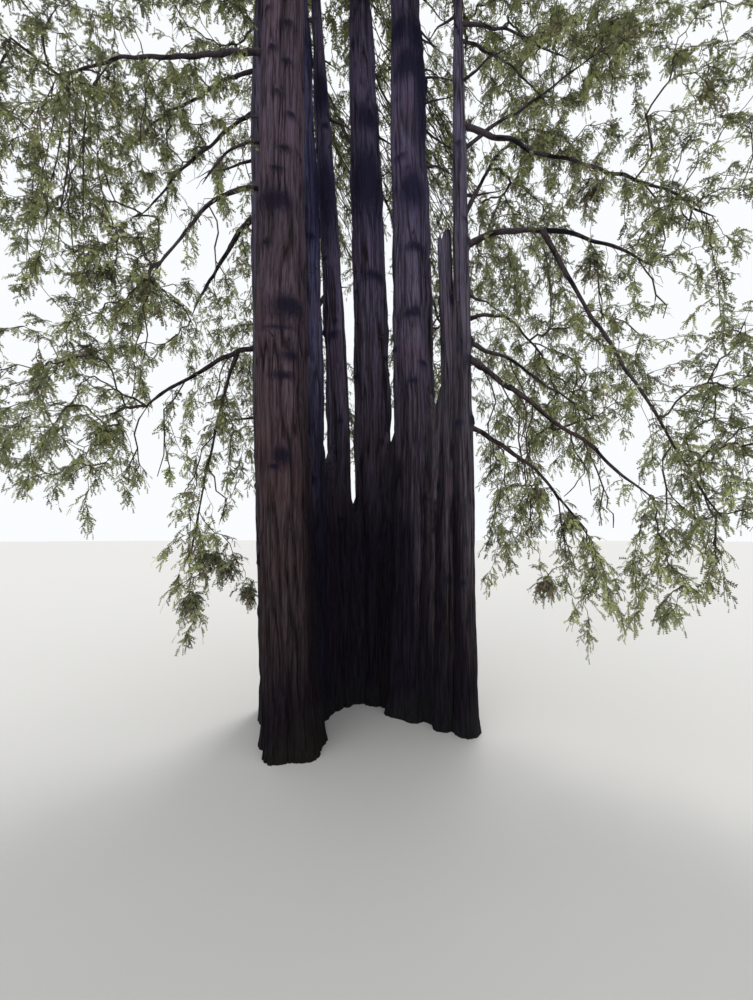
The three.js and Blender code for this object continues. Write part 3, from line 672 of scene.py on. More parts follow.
def unit_tube(name, columns, rows, crest=False):
    """An upright closed tube with even rows of faces, as a mesh, with each corner's angle and share.

    With a crest, its top is closed by faces from front to back, so that it can dip like a saddle.
    """
    bm = bmesh.new()
    bmesh.ops.create_cone(bm, cap_ends=True, segments=columns, radius1=1, radius2=1, depth=1)
    upright = [e for e in bm.edges if abs(e.verts[0].co.z - e.verts[1].co.z) > 0.5]
    bmesh.ops.subdivide_edges(bm, edges=upright, cuts=rows - 1)
    for face in bm.faces:
        face.smooth = len(face.verts) == 4
        if not face.smooth:
            for edge in face.edges:
                edge.smooth = False
    if crest:
        top = [vertex for vertex in bm.verts if vertex.co.z > 0.499]
        top.sort(key=lambda vertex: (round(vertex.co.x, 4), vertex.co.y))
        inner = [v for v in top if abs(v.co.x) < max(w.co.x for w in top) - 0.0001]
        for front, back in zip(inner[::2], inner[1::2]):
            bmesh.ops.connect_verts(bm, verts=[front, back])
    mesh = bpy.data.meshes.new(name)
    bm.to_mesh(mesh)
    bm.free()
    corners = np.empty(len(mesh.vertices) * 3)
    mesh.vertices.foreach_get("co", corners)
    x, y, z = corners.reshape(-1, 3).T
    return mesh, np.arctan2(y, x), z + 0.5


def place_corners(mesh, corners, **attributes):
    """Moves a mesh's corners and stores the values that its bark reads."""
    mesh.vertices.foreach_set("co", corners.astype(np.float32).ravel())
    for name, values in attributes.items():
        mesh.attributes.new(name, "FLOAT", "POINT").data.foreach_set("value", values.astype(np.float32))
    mesh.update()


def stem_line(stem, heights):
    """The middle of a stem at these heights, on a smooth curve through its route."""
    points = np.array([(x, y, z) for z, x, y in stem["route"]], float)
    points = np.vstack([2 * points[0] - points[1], points, 2 * points[-1] - points[-2]])
    share = np.linspace(0, 1, ROUTE_POINTS)[:, None]
    curve = []
    for before, start, end, after in zip(points, points[1:], points[2:], points[3:]):
        leave, arrive = (end - before) / 2, (after - start) / 2
        curve.append(
            start + leave * share + (3 * (end - start) - 2 * leave - arrive) * share**2
            + (2 * (start - end) + leave + arrive) * share**3
        )
    x, y, z = np.vstack(curve).T
    return np.stack([np.interp(heights, z, x), np.interp(heights, z, y), heights], axis=-1)


def stem_point(stem, height):
    """The middle of a stem at one height."""
    return stem_line(stem, np.array([float(height)]))[0]


def compass(heading):
    """The level direction at a heading in degrees."""
    return np.array([math.cos(math.radians(heading)), math.sin(math.radians(heading)), 0])


def turned_from(angle, heading):
    """How far each angle lies from a heading in degrees, the short way round."""
    return (angle - math.radians(heading) + math.pi) % math.tau - math.pi


def stem_radius(stem, heights):
    share = np.clip(heights / stem["height"], 0, 1)
    left = 1 - (1 - SNAPPED_TOP) * share if "snapped" in stem else 1 - share ** stem["stout"]
    return np.maximum(TIP_RADIUS, stem["width"] / 2 * left)


def lobes(stem, angle):
    return np.cos(stem["flutes"] * angle - stem["height"])


def bark_relief(stem, seed, angle, heights):
    """How far the bark stands off its stem, and how far each place is furrow (darkened as painted shade),
    burl, moss and streak.
    """
    bark = bpy.context.scene.redwood_bark
    noise = Noise([bark.seed, seed])
    turn = angle / math.tau + 0.5

    def layer(cells, tall, start, shift=0.0):
        """Noise with so many cells round the stem, each so many metres tall."""
        return noise.at((turn * cells + shift) % cells, heights / tall + start, cells)

    ridges = max(9, 3 * round(math.pi * stem["width"] / bark.ridge_width / 3))
    drift = 0.7 * layer(ridges // 3, 2.6, 40) + 0.25 * layer(ridges, 0.7, 90)
    small = layer(2 * ridges, 0.8, 200, 1.5 * drift)
    tiny = layer(4 * ridges, 0.22, 11)
    ridge = 0.68 * smooth_step(np.abs(layer(ridges, bark.ridge_length, 0, drift)), 0.02, 0.38)
    ridge = ridge + 0.32 * smooth_step(np.abs(small), 0, 0.36)
    swelling = layer(6, 1.2, 300) + 0.5 * layer(12, 0.5, 330)
    slim = np.clip(stem_radius(stem, heights) / 0.35, 0.12, 1)
    proud = slim * (bark.furrow_depth * (ridge - 0.85) + bark.swelling * (swelling - 0.3) + 0.006 * tiny)
    burl = np.zeros_like(heights)
    for height, heading, half_width, half_height, stands in all_burls(stem, seed):
        away = turned_from(angle, heading) * stem["width"] / 2
        reach = (away / half_width) ** 2 + ((heights - height) / half_height) ** 2
        lump = np.exp(-reach) * (1 - 0.75 * np.exp(-6 * reach))
        proud = proud + 1.4 * stands * lump * (1 + 0.5 * small + 0.4 * tiny)
        burl = np.maximum(burl, np.exp(-0.8 * reach))
    foot = np.exp(-heights / MOSS_FALL)
    facing = 0.5 + 0.5 * np.cos(turned_from(angle, MOSS_HEADING))
    moss = smooth_step(foot * (0.45 + 0.75 * facing) + 0.25 * swelling, 0.34, 0.8)
    streak = smooth_step(layer(ridges, 5, 70, drift), 0.15, 0.8)
    for heading, low, high, half_width in stem.get("streaks", []):
        away = turned_from(angle, heading) * stem["width"] / 2
        within = smooth_step(heights, low, low + 0.8) * (1 - smooth_step(heights, high - 0.8, high))
        streak = np.maximum(streak, within * np.exp(-((away / half_width) ** 2)))
    return proud, {"crack": 1 - ridge, "burl": burl, "moss": moss, "streak": streak}


def all_burls(stem, seed):
    """The burls that show in the photograph and smaller seeded ones all round."""
    rng = np.random.default_rng([seed, BURL_SEED])
    count = int(stem["height"] * 0.9)
    scattered = [
        (
            rng.uniform(2.4, stem["height"] * 0.92), rng.uniform(-180, 180),
            rng.uniform(0.06, 0.15), rng.uniform(0.05, 0.12), rng.uniform(0.015, 0.05),
        )
        for _ in range(count)
    ]
    return stem["burls"] + scattered


def soot_at(corners, outward):
    """How dark the bark is, for damp and old fire and as painted shade: most at the feet and on the sides
    that face the hollow.
    """
    inward = unit(HOLLOW - corners[:, :2])
    facing = np.einsum("ij,ij->i", inward, outward[:, :2])
    low = np.exp(-corners[:, 2] / SOOT_AND_SHADE_FALL)
    hollow = smooth_step(facing, -0.2, 0.7) * (1 - smooth_step(corners[:, 2], *HOLLOW_CLEARS))
    return np.clip(SOOT_AND_SHADE_LOW * low + HOLLOW_SHADE * hollow, 0, DARKEST)


def wrap_bark(mesh, line, radius, angle, marks):
    """Sets the corners of an upright tube of bark round its line, and the marks that its finish reads."""
    outward = np.stack([np.cos(angle), np.sin(angle), 0 * angle], axis=-1)
    corners = line + radius[:, None] * outward
    # The dark mark stored here is painted shade at the feet and towards the hollow, with the dark of damp and
    # old fire.
    place_corners(mesh, corners, soot=soot_at(corners, outward), **marks)


def stem_skin(stem, seed, angle, heights):
    """The radius of a stem with its flare and bark, and the marks of that bark."""
    proud, marks = bark_relief(stem, seed, angle, heights)
    flare = FLARE_SPREAD * (1 + FOOT_LOBES * lobes(stem, angle)) * np.exp(-heights / FLARE_HEIGHT)
    return stem_radius(stem, heights) * (1 + FLUTE_DEPTH * lobes(stem, angle) + flare) + proud, marks


def foot_mesh(name, stem, seed):
    """The flared foot of a stem, from the ground to the collar."""
    mesh, angle, share = unit_tube("foot_" + name, stem["columns"], round(COLLAR / stem.get("row", FINE_ROW)))
    heights = COLLAR * share
    radius, marks = stem_skin(stem, seed, angle, heights)
    wrap_bark(mesh, stem_line(stem, heights), radius, angle, marks)
    return mesh


def web_mesh(web, seed):
    """The wall of wood that fills the gap between two fused stems."""
    one, other, height, width = web
    mesh, angle, share = unit_tube("web", WEB_COLUMNS, round(height / FINE_ROW), crest=True)
    heights = height * share
    first, second = stem_line(STEMS[one], heights), stem_line(STEMS[other], heights)
    (_, x0, y0), (_, x1, y1) = STEMS[one]["route"][0], STEMS[other]["route"][0]
    like_stem = dict(height=height, width=2 * width, stout=1, flutes=3, burls=[])
    proud, marks = bark_relief(like_stem, seed, angle, heights)
    half_length = np.linalg.norm(second - first, axis=1) / 2
    rounding = np.sqrt(np.clip(1 - (np.maximum(share - 0.85, 0) / 0.15) ** 2, 0.01, 1))
    half_width = (width / 2 * (1 - WEB_NARROWING * share) + proud) * rounding
    along, across = half_length * np.cos(angle), half_width * np.sin(angle)
    gap = (stem_radius(STEMS[one], heights) - stem_radius(STEMS[other], heights)) / 2
    line = (first + second) / 2
    inside = 1 - np.minimum(np.abs(along - gap) / half_length, 1)
    line[:, 2] -= WEB_DIP * smooth_step(share, 0.4, 1) * inside
    heading = np.arctan2(across, along) + math.atan2(y1 - y0, x1 - x0)
    wrap_bark(mesh, line, np.hypot(along, across), heading, marks)
    return mesh


def stem_mesh(name, stem, seed):
    """A stem from the collar to its tip, or to its splintered break."""
    fine_top = min(FINE_HEIGHT, stem["height"])
    fine_rows = round((fine_top - COLLAR) / stem.get("row", FINE_ROW))
    top_rows = BREAK_ROWS if "snapped" in stem else round((stem["height"] - fine_top) / COARSE_ROW)
    mesh, angle, share = unit_tube("bark_" + name, stem["columns"], fine_rows + top_rows)
    level = share * (fine_rows + top_rows)
    heights = np.interp(level, [0, fine_rows, fine_rows + top_rows], [COLLAR, fine_top, stem["height"]])
    radius, marks = stem_skin(stem, seed, angle, heights)
    line = stem_line(stem, heights)
    if "snapped" in stem:
        within = np.clip((level - fine_rows) / top_rows, 0, 1)
        noise = Noise(seed)
        splinters = noise.at(angle * 6 + 40, within * 5) + 0.6 * noise.at(angle * 15 + 140, within * 9)
        slope = stem["snapped"] * np.cos(angle) * (1 - within)
        near_top = smooth_step(heights, stem["height"] - 1.2, stem["height"])
        line[:, 2] += near_top * (slope + 0.11 * splinters - 0.16 * within)
        radius = radius * (1 - 0.93 * within)
        marks["burl"] = np.maximum(marks["burl"], 0.5 * (within > 0))
    wrap_bark(mesh, line, radius, angle, marks)
    return mesh


def stub_paths(rng):
    """Dead side twigs and stubs round every stem, and the longer side branches between the stems."""
    paths, radii = [], []
    share = np.linspace(0, 1, 5)
    rows = list(SIDE_BRANCHES)
    for name, stem in STEMS.items():
        for height in np.arange(STUBS_LOW, min(stem["height"] - 1.5, STUBS_HIGH), STUB_ROOM):
            at, heading = height + rng.uniform(-0.3, 0.3), rng.uniform(-180, 180)
            length = 0.08 + 0.6 * rng.random() ** 3
            rows.append((name, at, heading, length, rng.uniform(-0.35, 0.1)))
    for name, height, heading, length, rise in rows:
        stem = STEMS[name]
        inner = float(stem_radius(stem, height)) * 0.75
        outward = compass(heading) * (inner + (inner * 0.35 + length) * share)[:, None]
        path = stem_point(stem, height) + outward
        path[:, 2] += rise * share - 0.12 * length * share**2
        path[1:] += rng.normal(0, 0.03 * length, (4, 3))
        paths.append(path)
        radii.append((0.012 + 0.02 * min(length, 1.0)) * (1.3 - share) ** 1.4)
    return np.array(paths), np.array(radii)


def bough_line(name, share):
    """The middle of a bough at these shares of its reach."""
    carrier, at, heading, reach, climb, sag, _ = BOUGHS[name]
    share = np.asarray(share, float)
    start = stem_point(STEMS[carrier], at) if carrier in STEMS else bough_line(carrier, [at])[0]
    heading = math.radians(heading)
    out = np.stack([reach * math.cos(heading) * share, reach * math.sin(heading) * share], axis=-1)
    rise = climb * share - sag * share**2
    return start + np.concatenate([out, rise[..., None]], axis=-1)


def bough_length(name):
    _, _, _, reach, climb, sag, _ = BOUGHS[name]
    return math.hypot(reach, climb - sag)


def across_bough(name):
    """The level direction across a bough."""
    heading = math.radians(BOUGHS[name][2])
    return np.array([-math.sin(heading), math.cos(heading), 0.0])


def crooked_line(name, share):
    """A bough's middle with the bends of old wood, which die away at its root."""
    share = np.asarray(share, float)
    noise = Noise([len(name), sum(map(ord, name))])
    run = share * bough_length(name)

    def bend(size, often, start):
        return size * noise.at(run * often, run * 0 + start)

    free = smooth_step(share, 0, 0.25)
    sideways = free * (bend(0.07, 1.1, 3) + bend(0.03, 2.9, 9))
    line = bough_line(name, share) + sideways[..., None] * across_bough(name)
    line[..., 2] += free * (bend(0.06, 1.3, 17) + bend(0.03, 3.1, 23))
    return line


def unit(vectors):
    return vectors / np.maximum(np.linalg.norm(vectors, axis=-1, keepdims=True), 1e-9)


def bough_mesh(name, seed):
    """A bough's bark, from within its stem to its far end."""
    mesh, angle, share = unit_tube("bark_" + name, BOUGH_COLUMNS, round(bough_length(name) / BOUGH_ROW))
    step = 0.01
    along = unit(crooked_line(name, share + step) - crooked_line(name, share - step))
    above = unit(np.cross(across_bough(name), along))
    aside = np.cross(along, above)
    noise = Noise(seed + BOUGH_SEED)
    turn = angle / math.tau + 0.5
    run = share * bough_length(name)
    rough = noise.at(turn * 5, run / 0.4, 5) + 0.7 * noise.at(turn * 6, run / 0.12 + 50, 6)
    knots = smooth_step(noise.at(turn * 3, run / 0.3 + 90, 3), 0.45, 1)
    taper = 1 - (1 - BOUGH_END) * share
    radius = BOUGHS[name][-1] / 2 * taper * (1 + BOUGH_COLLAR * np.exp(-share * COLLAR_FALL))
    radius = radius * (1 + 0.16 * rough + 0.4 * knots) * np.sqrt(np.clip((1 - share) * 12, 0.06, 1))
    corners = crooked_line(name, share)
    corners += (radius * np.cos(angle))[:, None] * above + (radius * np.sin(angle))[:, None] * aside
    # Painted shade: the bough's bark darkens where it dips.
    crack, moss = smooth_step(-rough, 0, 1), 0.5 * smooth_step(np.cos(angle), 0.4, 1)
    streak = 0.3 * smooth_step(rough, 0, 1)
    place_corners(mesh, corners, crack=crack, burl=knots, moss=moss, soot=0 * crack, streak=streak)
    return mesh


def tubes(paths, radii, sides):
    """Corners and triangles of closed tapering tubes along paths of equal numbers of points."""
    along = unit(np.gradient(paths, axis=1))
    steep = np.abs(along[..., 2:]) > 0.9
    side = unit(np.cross(along, np.where(steep, [1.0, 0, 0], [0, 0, 1.0])))
    out = np.cross(along, side)
    turn = np.arange(sides) * math.tau / sides
    ring = side[:, :, None] * np.cos(turn)[:, None] + out[:, :, None] * np.sin(turn)[:, None]
    corners = paths[:, :, None] + radii[:, :, None, None] * ring
    index = np.arange(corners[..., 0].size).reshape(corners.shape[:3])
    after = np.roll(index, -1, axis=2)
    low, low_next, high, high_next = index[:, :-1], after[:, :-1], index[:, 1:], after[:, 1:]
    triangles = [np.stack([low, low_next, high_next], -1), np.stack([low, high_next, high], -1)]
    for k in range(1, sides - 1):
        triangles.append(np.stack([index[:, 0, 0], index[:, 0, k + 1], index[:, 0, k]], -1))
        triangles.append(np.stack([index[:, -1, 0], index[:, -1, k], index[:, -1, k + 1]], -1))
    return corners.reshape(-1, 3), np.concatenate([t.reshape(-1, 3) for t in triangles])


def drooping_lines(starts, ways, lengths, droops, share):
    """The places at these shares of lines that set out along their ways and bend down."""
    lines = starts[:, None] + ways[:, None] * (lengths[:, None] * share)[..., None]
    lines[..., 2] -= (droops * lengths)[:, None] * share**2
    return lines


def combs(roots, along, across, lengths, teeth, rng):
    """Shoots with a row of needles on either side, as corners and triangles."""
    crown = bpy.context.scene.redwood_crown
    flat = np.cross(along, across)
    share = np.linspace(0, 1, teeth + 1)
    axis = drooping_lines(roots, along, lengths, SHOOT_DROOP, share)
    middle = (axis[:, :-1] + axis[:, 1:]) / 2
    full = 0.45 + 0.55 * np.sin(math.pi * (0.2 + 0.72 * share[:-1]))
    reach = crown.needle * lengths[:, None] * full * rng.uniform(0.8, 1.2, middle.shape[:2])
    forward = along[:, None] * math.cos(crown.slant) - flat[:, None] * 0.22
    aside = across[:, None] * math.sin(crown.slant)
    left = middle + (forward + aside) * reach[..., None]
    right = middle + (forward - aside) * reach[..., None]
    corners = np.concatenate([axis, left, right], axis=1)
    first = np.arange(len(roots))[:, None] * corners.shape[1]
    tooth = first + np.arange(teeth)
    triangles = np.stack(
        [
            np.stack([tooth, tooth + 1, tooth + teeth + 1], -1),
            np.stack([tooth + 1, tooth, tooth + 2 * teeth + 1], -1),
        ],
        axis=2,
    )
    return corners.reshape(-1, 3), triangles.reshape(-1, 3)


def mesh_of(name, parts, smooth):
    """One mesh joined from (corners, triangles, material numbers) parts."""
    starts = np.cumsum([0] + [len(corners) for corners, _, _ in parts[:-1]])
    corners = np.concatenate([part[0] for part in parts])
    triangles = np.concatenate([part[1] + start for part, start in zip(parts, starts)])
    materials = np.concatenate([np.broadcast_to(part[2], len(part[1])) for part in parts])
    mesh = bpy.data.meshes.new(name)
    mesh.vertices.add(len(corners))
    mesh.vertices.foreach_set("co", corners.astype(np.float32).ravel())
    mesh.loops.add(triangles.size)
    mesh.loops.foreach_set("vertex_index", triangles.astype(np.int32).ravel())
    mesh.polygons.add(len(triangles))
    mesh.polygons.foreach_set("loop_start", np.arange(0, triangles.size, 3, dtype=np.int32))
    mesh.polygons.foreach_set("material_index", materials.astype(np.int32))
    mesh.polygons.foreach_set("use_smooth", np.full(len(triangles), smooth))
    mesh.update(calc_edges=True)
    return mesh


class Growth:
    """Branches grown by joining each target to the nearest point that is already there."""

    STEPS = 5  # pieces of a path from its joint to its end
    SHORTEST = 0.15
    FOLLOW = 0.55  # how far a branch sets out the way that its joint points, as a share
    WANDER = 0.035
    THICKENING = 0.42  # the power of its load by which a branch grows thicker
    TURN_COST = 0.35  # how much further a target counts that lies square to the way a point heads

    def __init__(self, roots, aims, rng):
        self.points = list(roots)
        self.aims = list(aims)
        self.parents = [-1] * len(roots)
        self.rooted = len(roots)
        self.paths = []
        self.rng = rng

    def root(self, point, aim):
        """Adds a point that a branch may leave from, and returns its number."""
        self.points.append(point)
        self.aims.append(aim)
        self.parents.append(-1)
        return len(self.points) - 1

    def reach(self, target, joint=None, arch=0.12):
        """Grows a branch to a target, from the nearest point or from a given one."""
        if joint is None:
            points = np.array(self.points)
            gap = target - points
            distance = np.linalg.norm(gap, axis=1)
            turn = np.einsum("ij,ij->i", unit(gap), np.array(self.aims))
            joint = int(np.argmin(distance * (1 + self.TURN_COST - self.TURN_COST * turn)))
        start = self.points[joint]
        span = target - start
        length = float(np.linalg.norm(span))
        if length < self.SHORTEST:
            return
        share = np.linspace(0, 1, self.STEPS + 1)[1:, None]
        aim = np.array(self.aims[joint])
        bend = share * (1 - share) ** 2
        path = start + span * share + self.FOLLOW * length * aim * bend
        path[:, 2] += arch * length * 4 * (share * (1 - share))[:, 0]
        path[:-1] += self.rng.normal(0, self.WANDER * min(length, 1.5), (self.STEPS - 1, 3))
        steps = np.vstack([start, path])
        first = len(self.points)
        for k in range(self.STEPS):
            self.points.append(path[k])
            self.aims.append(unit(steps[k + 1] - steps[k]))
            self.parents.append(joint if k == 0 else first + k - 1)
        self.paths.append([joint] + list(range(first, first + self.STEPS)))

    def radii(self, thin, thick):
        """A radius for each point, which grows with the branch ends beyond it."""
        load = np.zeros(len(self.points))
        for path in self.paths:
            load[path[-1]] += 1
        for k in range(len(self.points) - 1, self.rooted - 1, -1):
            if self.parents[k] >= 0:
                load[self.parents[k]] += load[k]
        return np.clip(thin * np.maximum(load, 1) ** self.THICKENING, thin, thick)

    def branch_tubes(self, thin, thick, sides):
        """The branches as one part of a mesh, in its first material."""
        radii = self.radii(thin, thick)
        points = np.array(self.points)
        index = np.array(self.paths)
        wide = radii[index]
        wide[:, 0] = wide[:, 1]
        wide[:, -1] *= 0.7
        return *tubes(points[index], wide, sides), 0

    def twigs(self, spacing, bare, spread):
        """Starts, directions and sizes of twigs along the outer part of every branch and at its end."""
        starts, ways, sizes = [], [], []
        points = np.array(self.points)
        for path in self.paths:
            line = points[path]
            length = np.linalg.norm(np.diff(line, axis=0), axis=1).sum()
            count = max(1, round(length * (1 - bare) / spacing))
            for k in range(count):
                share = bare + (1 - bare) * (k + self.rng.uniform(0.1, 0.9)) / count
                at = share * self.STEPS
                low = min(int(at), self.STEPS - 1)
                along = unit(line[low + 1] - line[low])
                side = unit(np.cross(along, [0.0, 0, 1.0]) + self.rng.normal(0, 0.45, 3)) * (-1) ** k
                starts.append(line[low] + (line[low + 1] - line[low]) * (at - low))
                ways.append(unit(along * math.cos(spread) + side * math.sin(spread)))
                sizes.append(1.15 - 0.4 * share)
            end = unit(line[-1] - line[-2])
            side = unit(np.cross(end, [0.0, 0, 1.0]) + self.rng.normal(0, 0.4, 3))
            for lean in (-0.6, 0.05, 0.65):
                starts.append(line[-1])
                ways.append(unit(end + lean * side + self.rng.normal(0, 0.12, 3)))
                sizes.append(0.85 if lean else 1.0)
        return np.array(starts), np.array(ways), np.array(sizes)


def spray_needles(starts, ways, lengths, droops, colours, shoot, shoots, rng):
    """Needled shoots on both sides of every twig and at its end."""
    share = (np.arange(shoots) + rng.uniform(0.2, 1.0, (len(starts), shoots))) / shoots
    places = drooping_lines(starts, ways, lengths, droops, share)
    along = np.repeat(ways[:, None], shoots, axis=1)
    along[..., 2] -= 2 * droops[:, None] * share
    along = unit(along)
    across = unit(np.cross(along, [0.0, 0, 1.0]) + rng.normal(0, 0.3, along.shape))
    side = np.where(np.arange(shoots) % 2 == 0, 1.0, -1.0)[:, None]
    side[-1] = 0  # the last shoot runs straight on
    spread = rng.uniform(math.radians(34), math.radians(74), share.shape)[..., None]
    heading = along * np.where(side == 0, 1, np.cos(spread)) + across * side * np.sin(spread)
    heading = unit(heading + rng.normal(0, 0.2, heading.shape) + [0, 0, -0.22])
    flat = unit(np.cross(across, along) + rng.normal(0, 0.4, along.shape))
    flat = np.where(flat[..., 2:] < 0, -flat, flat)
    wide = unit(np.cross(flat, heading))
    size = shoot * (1.12 - 0.35 * share) * rng.uniform(0.6, 1.3, share.shape)
    corners, triangles = combs(
        places.reshape(-1, 3), heading.reshape(-1, 3), wide.reshape(-1, 3), size.ravel(), TEETH, rng
    )
    return corners, triangles, np.repeat(colours, shoots * TEETH * 2)


class Mass:
    """The room that a mass of foliage may fill, from its node's mesh."""

    FAR = 14  # a length that reaches across any mass
    TRIES = 2600  # places tried for the ends of its branches

    def __init__(self, name):
        self.name = name
        mesh = frame["nodes"][name].data
        corners = [v.co.copy() for v in mesh.vertices]
        self.tree = BVHTree.FromPolygons(corners, [list(p.vertices) for p in mesh.polygons])
        low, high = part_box(name)
        self.low, self.high = np.array(low), np.array(high)
        self.middle = (self.low + self.high) / 2
        self.high_up = name.startswith(("spire", "crown"))
        self.habit = next(habit for habit in sorted(HABITS, key=len, reverse=True) if name.startswith(habit))

    def depth(self, point):
        """How far a point lies within the mass, or a negative number outside it."""
        near, normal, _, distance = self.tree.find_nearest(Vector(point))
        return distance if (near - Vector(point)).dot(normal) > 0 else -distance

    def edge(self, start, way):
        """The furthest point of the mass on a ray from a start, or None."""
        far = Vector(start) + Vector(way) * self.FAR
        hit, _, _, _ = self.tree.ray_cast(far, -Vector(way), self.FAR)
        return None if hit is None else np.array(hit)

    def targets(self, spacing, margin, rng):
        """Seeded places within the mass, closer together near its outside."""
        kept = np.empty((0, 3))
        places = rng.uniform(self.low, self.high, (self.TRIES, 3))
        for point in places[~in_gap(places)]:
            depth = self.depth(point)
            if depth < margin:
                continue
            need = spacing * (1 + 0.55 * min(1.0, max(0.0, depth - 0.9)))
            if len(kept) and np.linalg.norm(kept - point, axis=1).min() < need:
                continue
            kept = np.vstack([kept, point])
        return kept


def in_gap(points):
    """Which places fall before the bare stems, or before an opening where the photograph shows sky."""
    x, y = picture_place(points)
    held = (x > BARE_LEFT) & (x < BARE_RIGHT) & (points[:, 1] < BARE_BACK) & (points[:, 2] < BARE_TOP)
    held &= (x < LACE[0]) | (x > LACE[1]) | (y > LACE[2])
    for middle_x, middle_y, wide, tall in SKY_GAPS:
        held |= ((x - middle_x) / wide) ** 2 + ((y - middle_y) / tall) ** 2 < 1
    return held


def picture_place(points):
    """Where places fall in the photograph's frame, in pixels; far off it behind the camera."""
    stage = bpy.context.scene.redwood_stage
    x, y, z = (np.asarray(points) - np.array(stage.eye)).T
    depth = np.maximum(y * math.cos(stage.pitch) + z * math.sin(stage.pitch), 0.01)
    up = z * math.cos(stage.pitch) - y * math.sin(stage.pitch)
    scale = stage.lens / SENSOR * FRAME_HEIGHT
    return FRAME_WIDTH / 2 + scale * x / depth, FRAME_HEIGHT / 2 - scale * up / depth


def stem_roots(low, high, middle, reach):
    """Points and directions up the stems between two heights, near a mass."""
    points, aims = [], []
    for stem in STEMS.values():
        top = stem["height"] - 0.3
        heights = np.arange(max(low, LOWEST_ROOT), min(high, top), ROOT_ROOM)
        if "snapped" in stem or len(heights) == 0:
            continue
        for point in stem_line(stem, heights):
            away = middle - point
            away[2] = 0
            distance = np.linalg.norm(away)
            if distance < reach:
                points.append(point)
                # Branches of a mass right above the stem set out upwards
                aims.append(unit(away + [0, 0, 0.15 * distance]) if distance > 0.8 else np.array([0, 0, 1.0]))
    return points, aims


def bough_roots(mass):
    """Points and directions of the boughs within a mass or just short of it."""
    points, aims = [], []
    for name in BOUGHS:
        line = crooked_line(name, BOUGH_JOINTS)
        inside = [mass.depth(point) > -0.35 for point in line]
        for k, (point, kept) in enumerate(zip(line, inside)):
            if kept:
                points.append(point)
                aims.append(unit(line[min(k + 1, len(line) - 1)] - line[max(k - 1, 0)]))
    return points, aims


def nearest_bough_end(mass):
    ends = {name: crooked_line(name, [0.9, 0.97]) for name in BOUGHS}
    name = min(ends, key=lambda n: np.linalg.norm(ends[n][1] - mass.middle))
    return [ends[name][1]], [unit(ends[name][1] - ends[name][0])]


def whorls(growth, mass, rng):
    """The main branches of a spire, round its stem by the golden angle."""
    stem = STEMS[mass.name.replace("spire", "stem")]
    heading = rng.uniform(0, math.tau)
    tip = stem["height"] - 0.25
    height = mass.low[2] + 0.6
    while height < tip:
        share = (height - mass.low[2]) / (tip - mass.low[2])
        start = stem_point(stem, height)
        slope = WHORL_SLOPE + WHORL_RISE * share + rng.normal(0, 0.08)
        way = unit(np.array([math.cos(heading), math.sin(heading), slope]))
        edge = mass.edge(start, way)
        room = 0 if edge is None else np.linalg.norm(edge - start)
        length = max(room - min(0.55, 0.35 * room), TIP_BRANCH)
        growth.reach(start + way * length, growth.root(start, unit(way + [0, 0, 0.5])), arch=0.1)
        heading += GOLDEN_ANGLE + rng.normal(0, 0.2)
        height += rng.uniform(*WHORL_ROOM) * (1.1 - 0.45 * share)


def grow_mass(mass, rng):
    """The branches of one mass."""
    points, aims = bough_roots(mass)
    if mass.high_up:
        more_points, more_aims = stem_roots(mass.low[2] - 1, mass.high[2], mass.middle, LONGEST_LIMB)
        points, aims = points + more_points, aims + more_aims
    if not points:
        points, aims = nearest_bough_end(mass)
    growth = Growth(points, aims, rng)
    if mass.name.startswith("spire"):
        whorls(growth, mass, rng)
    targets = mass.targets(HABITS[mass.habit][0], HIGH_MARGIN if mass.high_up else LOW_MARGIN, rng)
    known = np.array(growth.points)
    order = np.argsort([np.linalg.norm(known - target, axis=1).min() for target in targets])
    for k in order:
        growth.reach(targets[k])
    return growth


def hang_strands(branches, rng):
    """Long thin strands that hang from the branches behind the stems."""
    strands = Growth([], [], rng)
    points = np.array(branches.points)
    within = ((points > STRAND_LOW) & (points < STRAND_HIGH)).all(axis=1)
    for joint in rng.permutation(np.flatnonzero(within))[:STRANDS_TO_A_MASS]:
        length = rng.uniform(*STRAND_LENGTH)
        way = unit(STRAND_WAY + rng.normal(0, 0.07, 3))
        strands.reach(points[joint] + way * length, strands.root(points[joint], way), arch=0.0)
    return strands


def weeping_branchlets(growth, rng):
    """Slender branchlets that hang from the branches of a low mass."""
    joints = rng.permutation(np.arange(growth.rooted, len(growth.points)))
    for joint in joints[: round(WEEPING_SHARE * len(joints))]:
        way = unit(rng.normal(0, 0.22, 3) + [0, 0, -1.0])
        end = growth.points[joint] + way * rng.uniform(0.5, 1.5)
        if end[2] > LOWEST_TWIG and not in_gap(end[None])[0]:
            growth.reach(end, int(joint), arch=0.0)


def on_side(side, x):
    """Whether a place across the tree is on its left or right."""
    return (x < MIDDLE_X) == (side == "left")


def hanging_twigs(rows_by_bough, side_name):
    """The root and way of each hanging twig in a table, on one side."""
    for name, rows in rows_by_bough:
        for share, *way in rows:
            point = crooked_line(name, [share])[0]
            if on_side(side_name, point[0]):
                yield point, np.array(way)


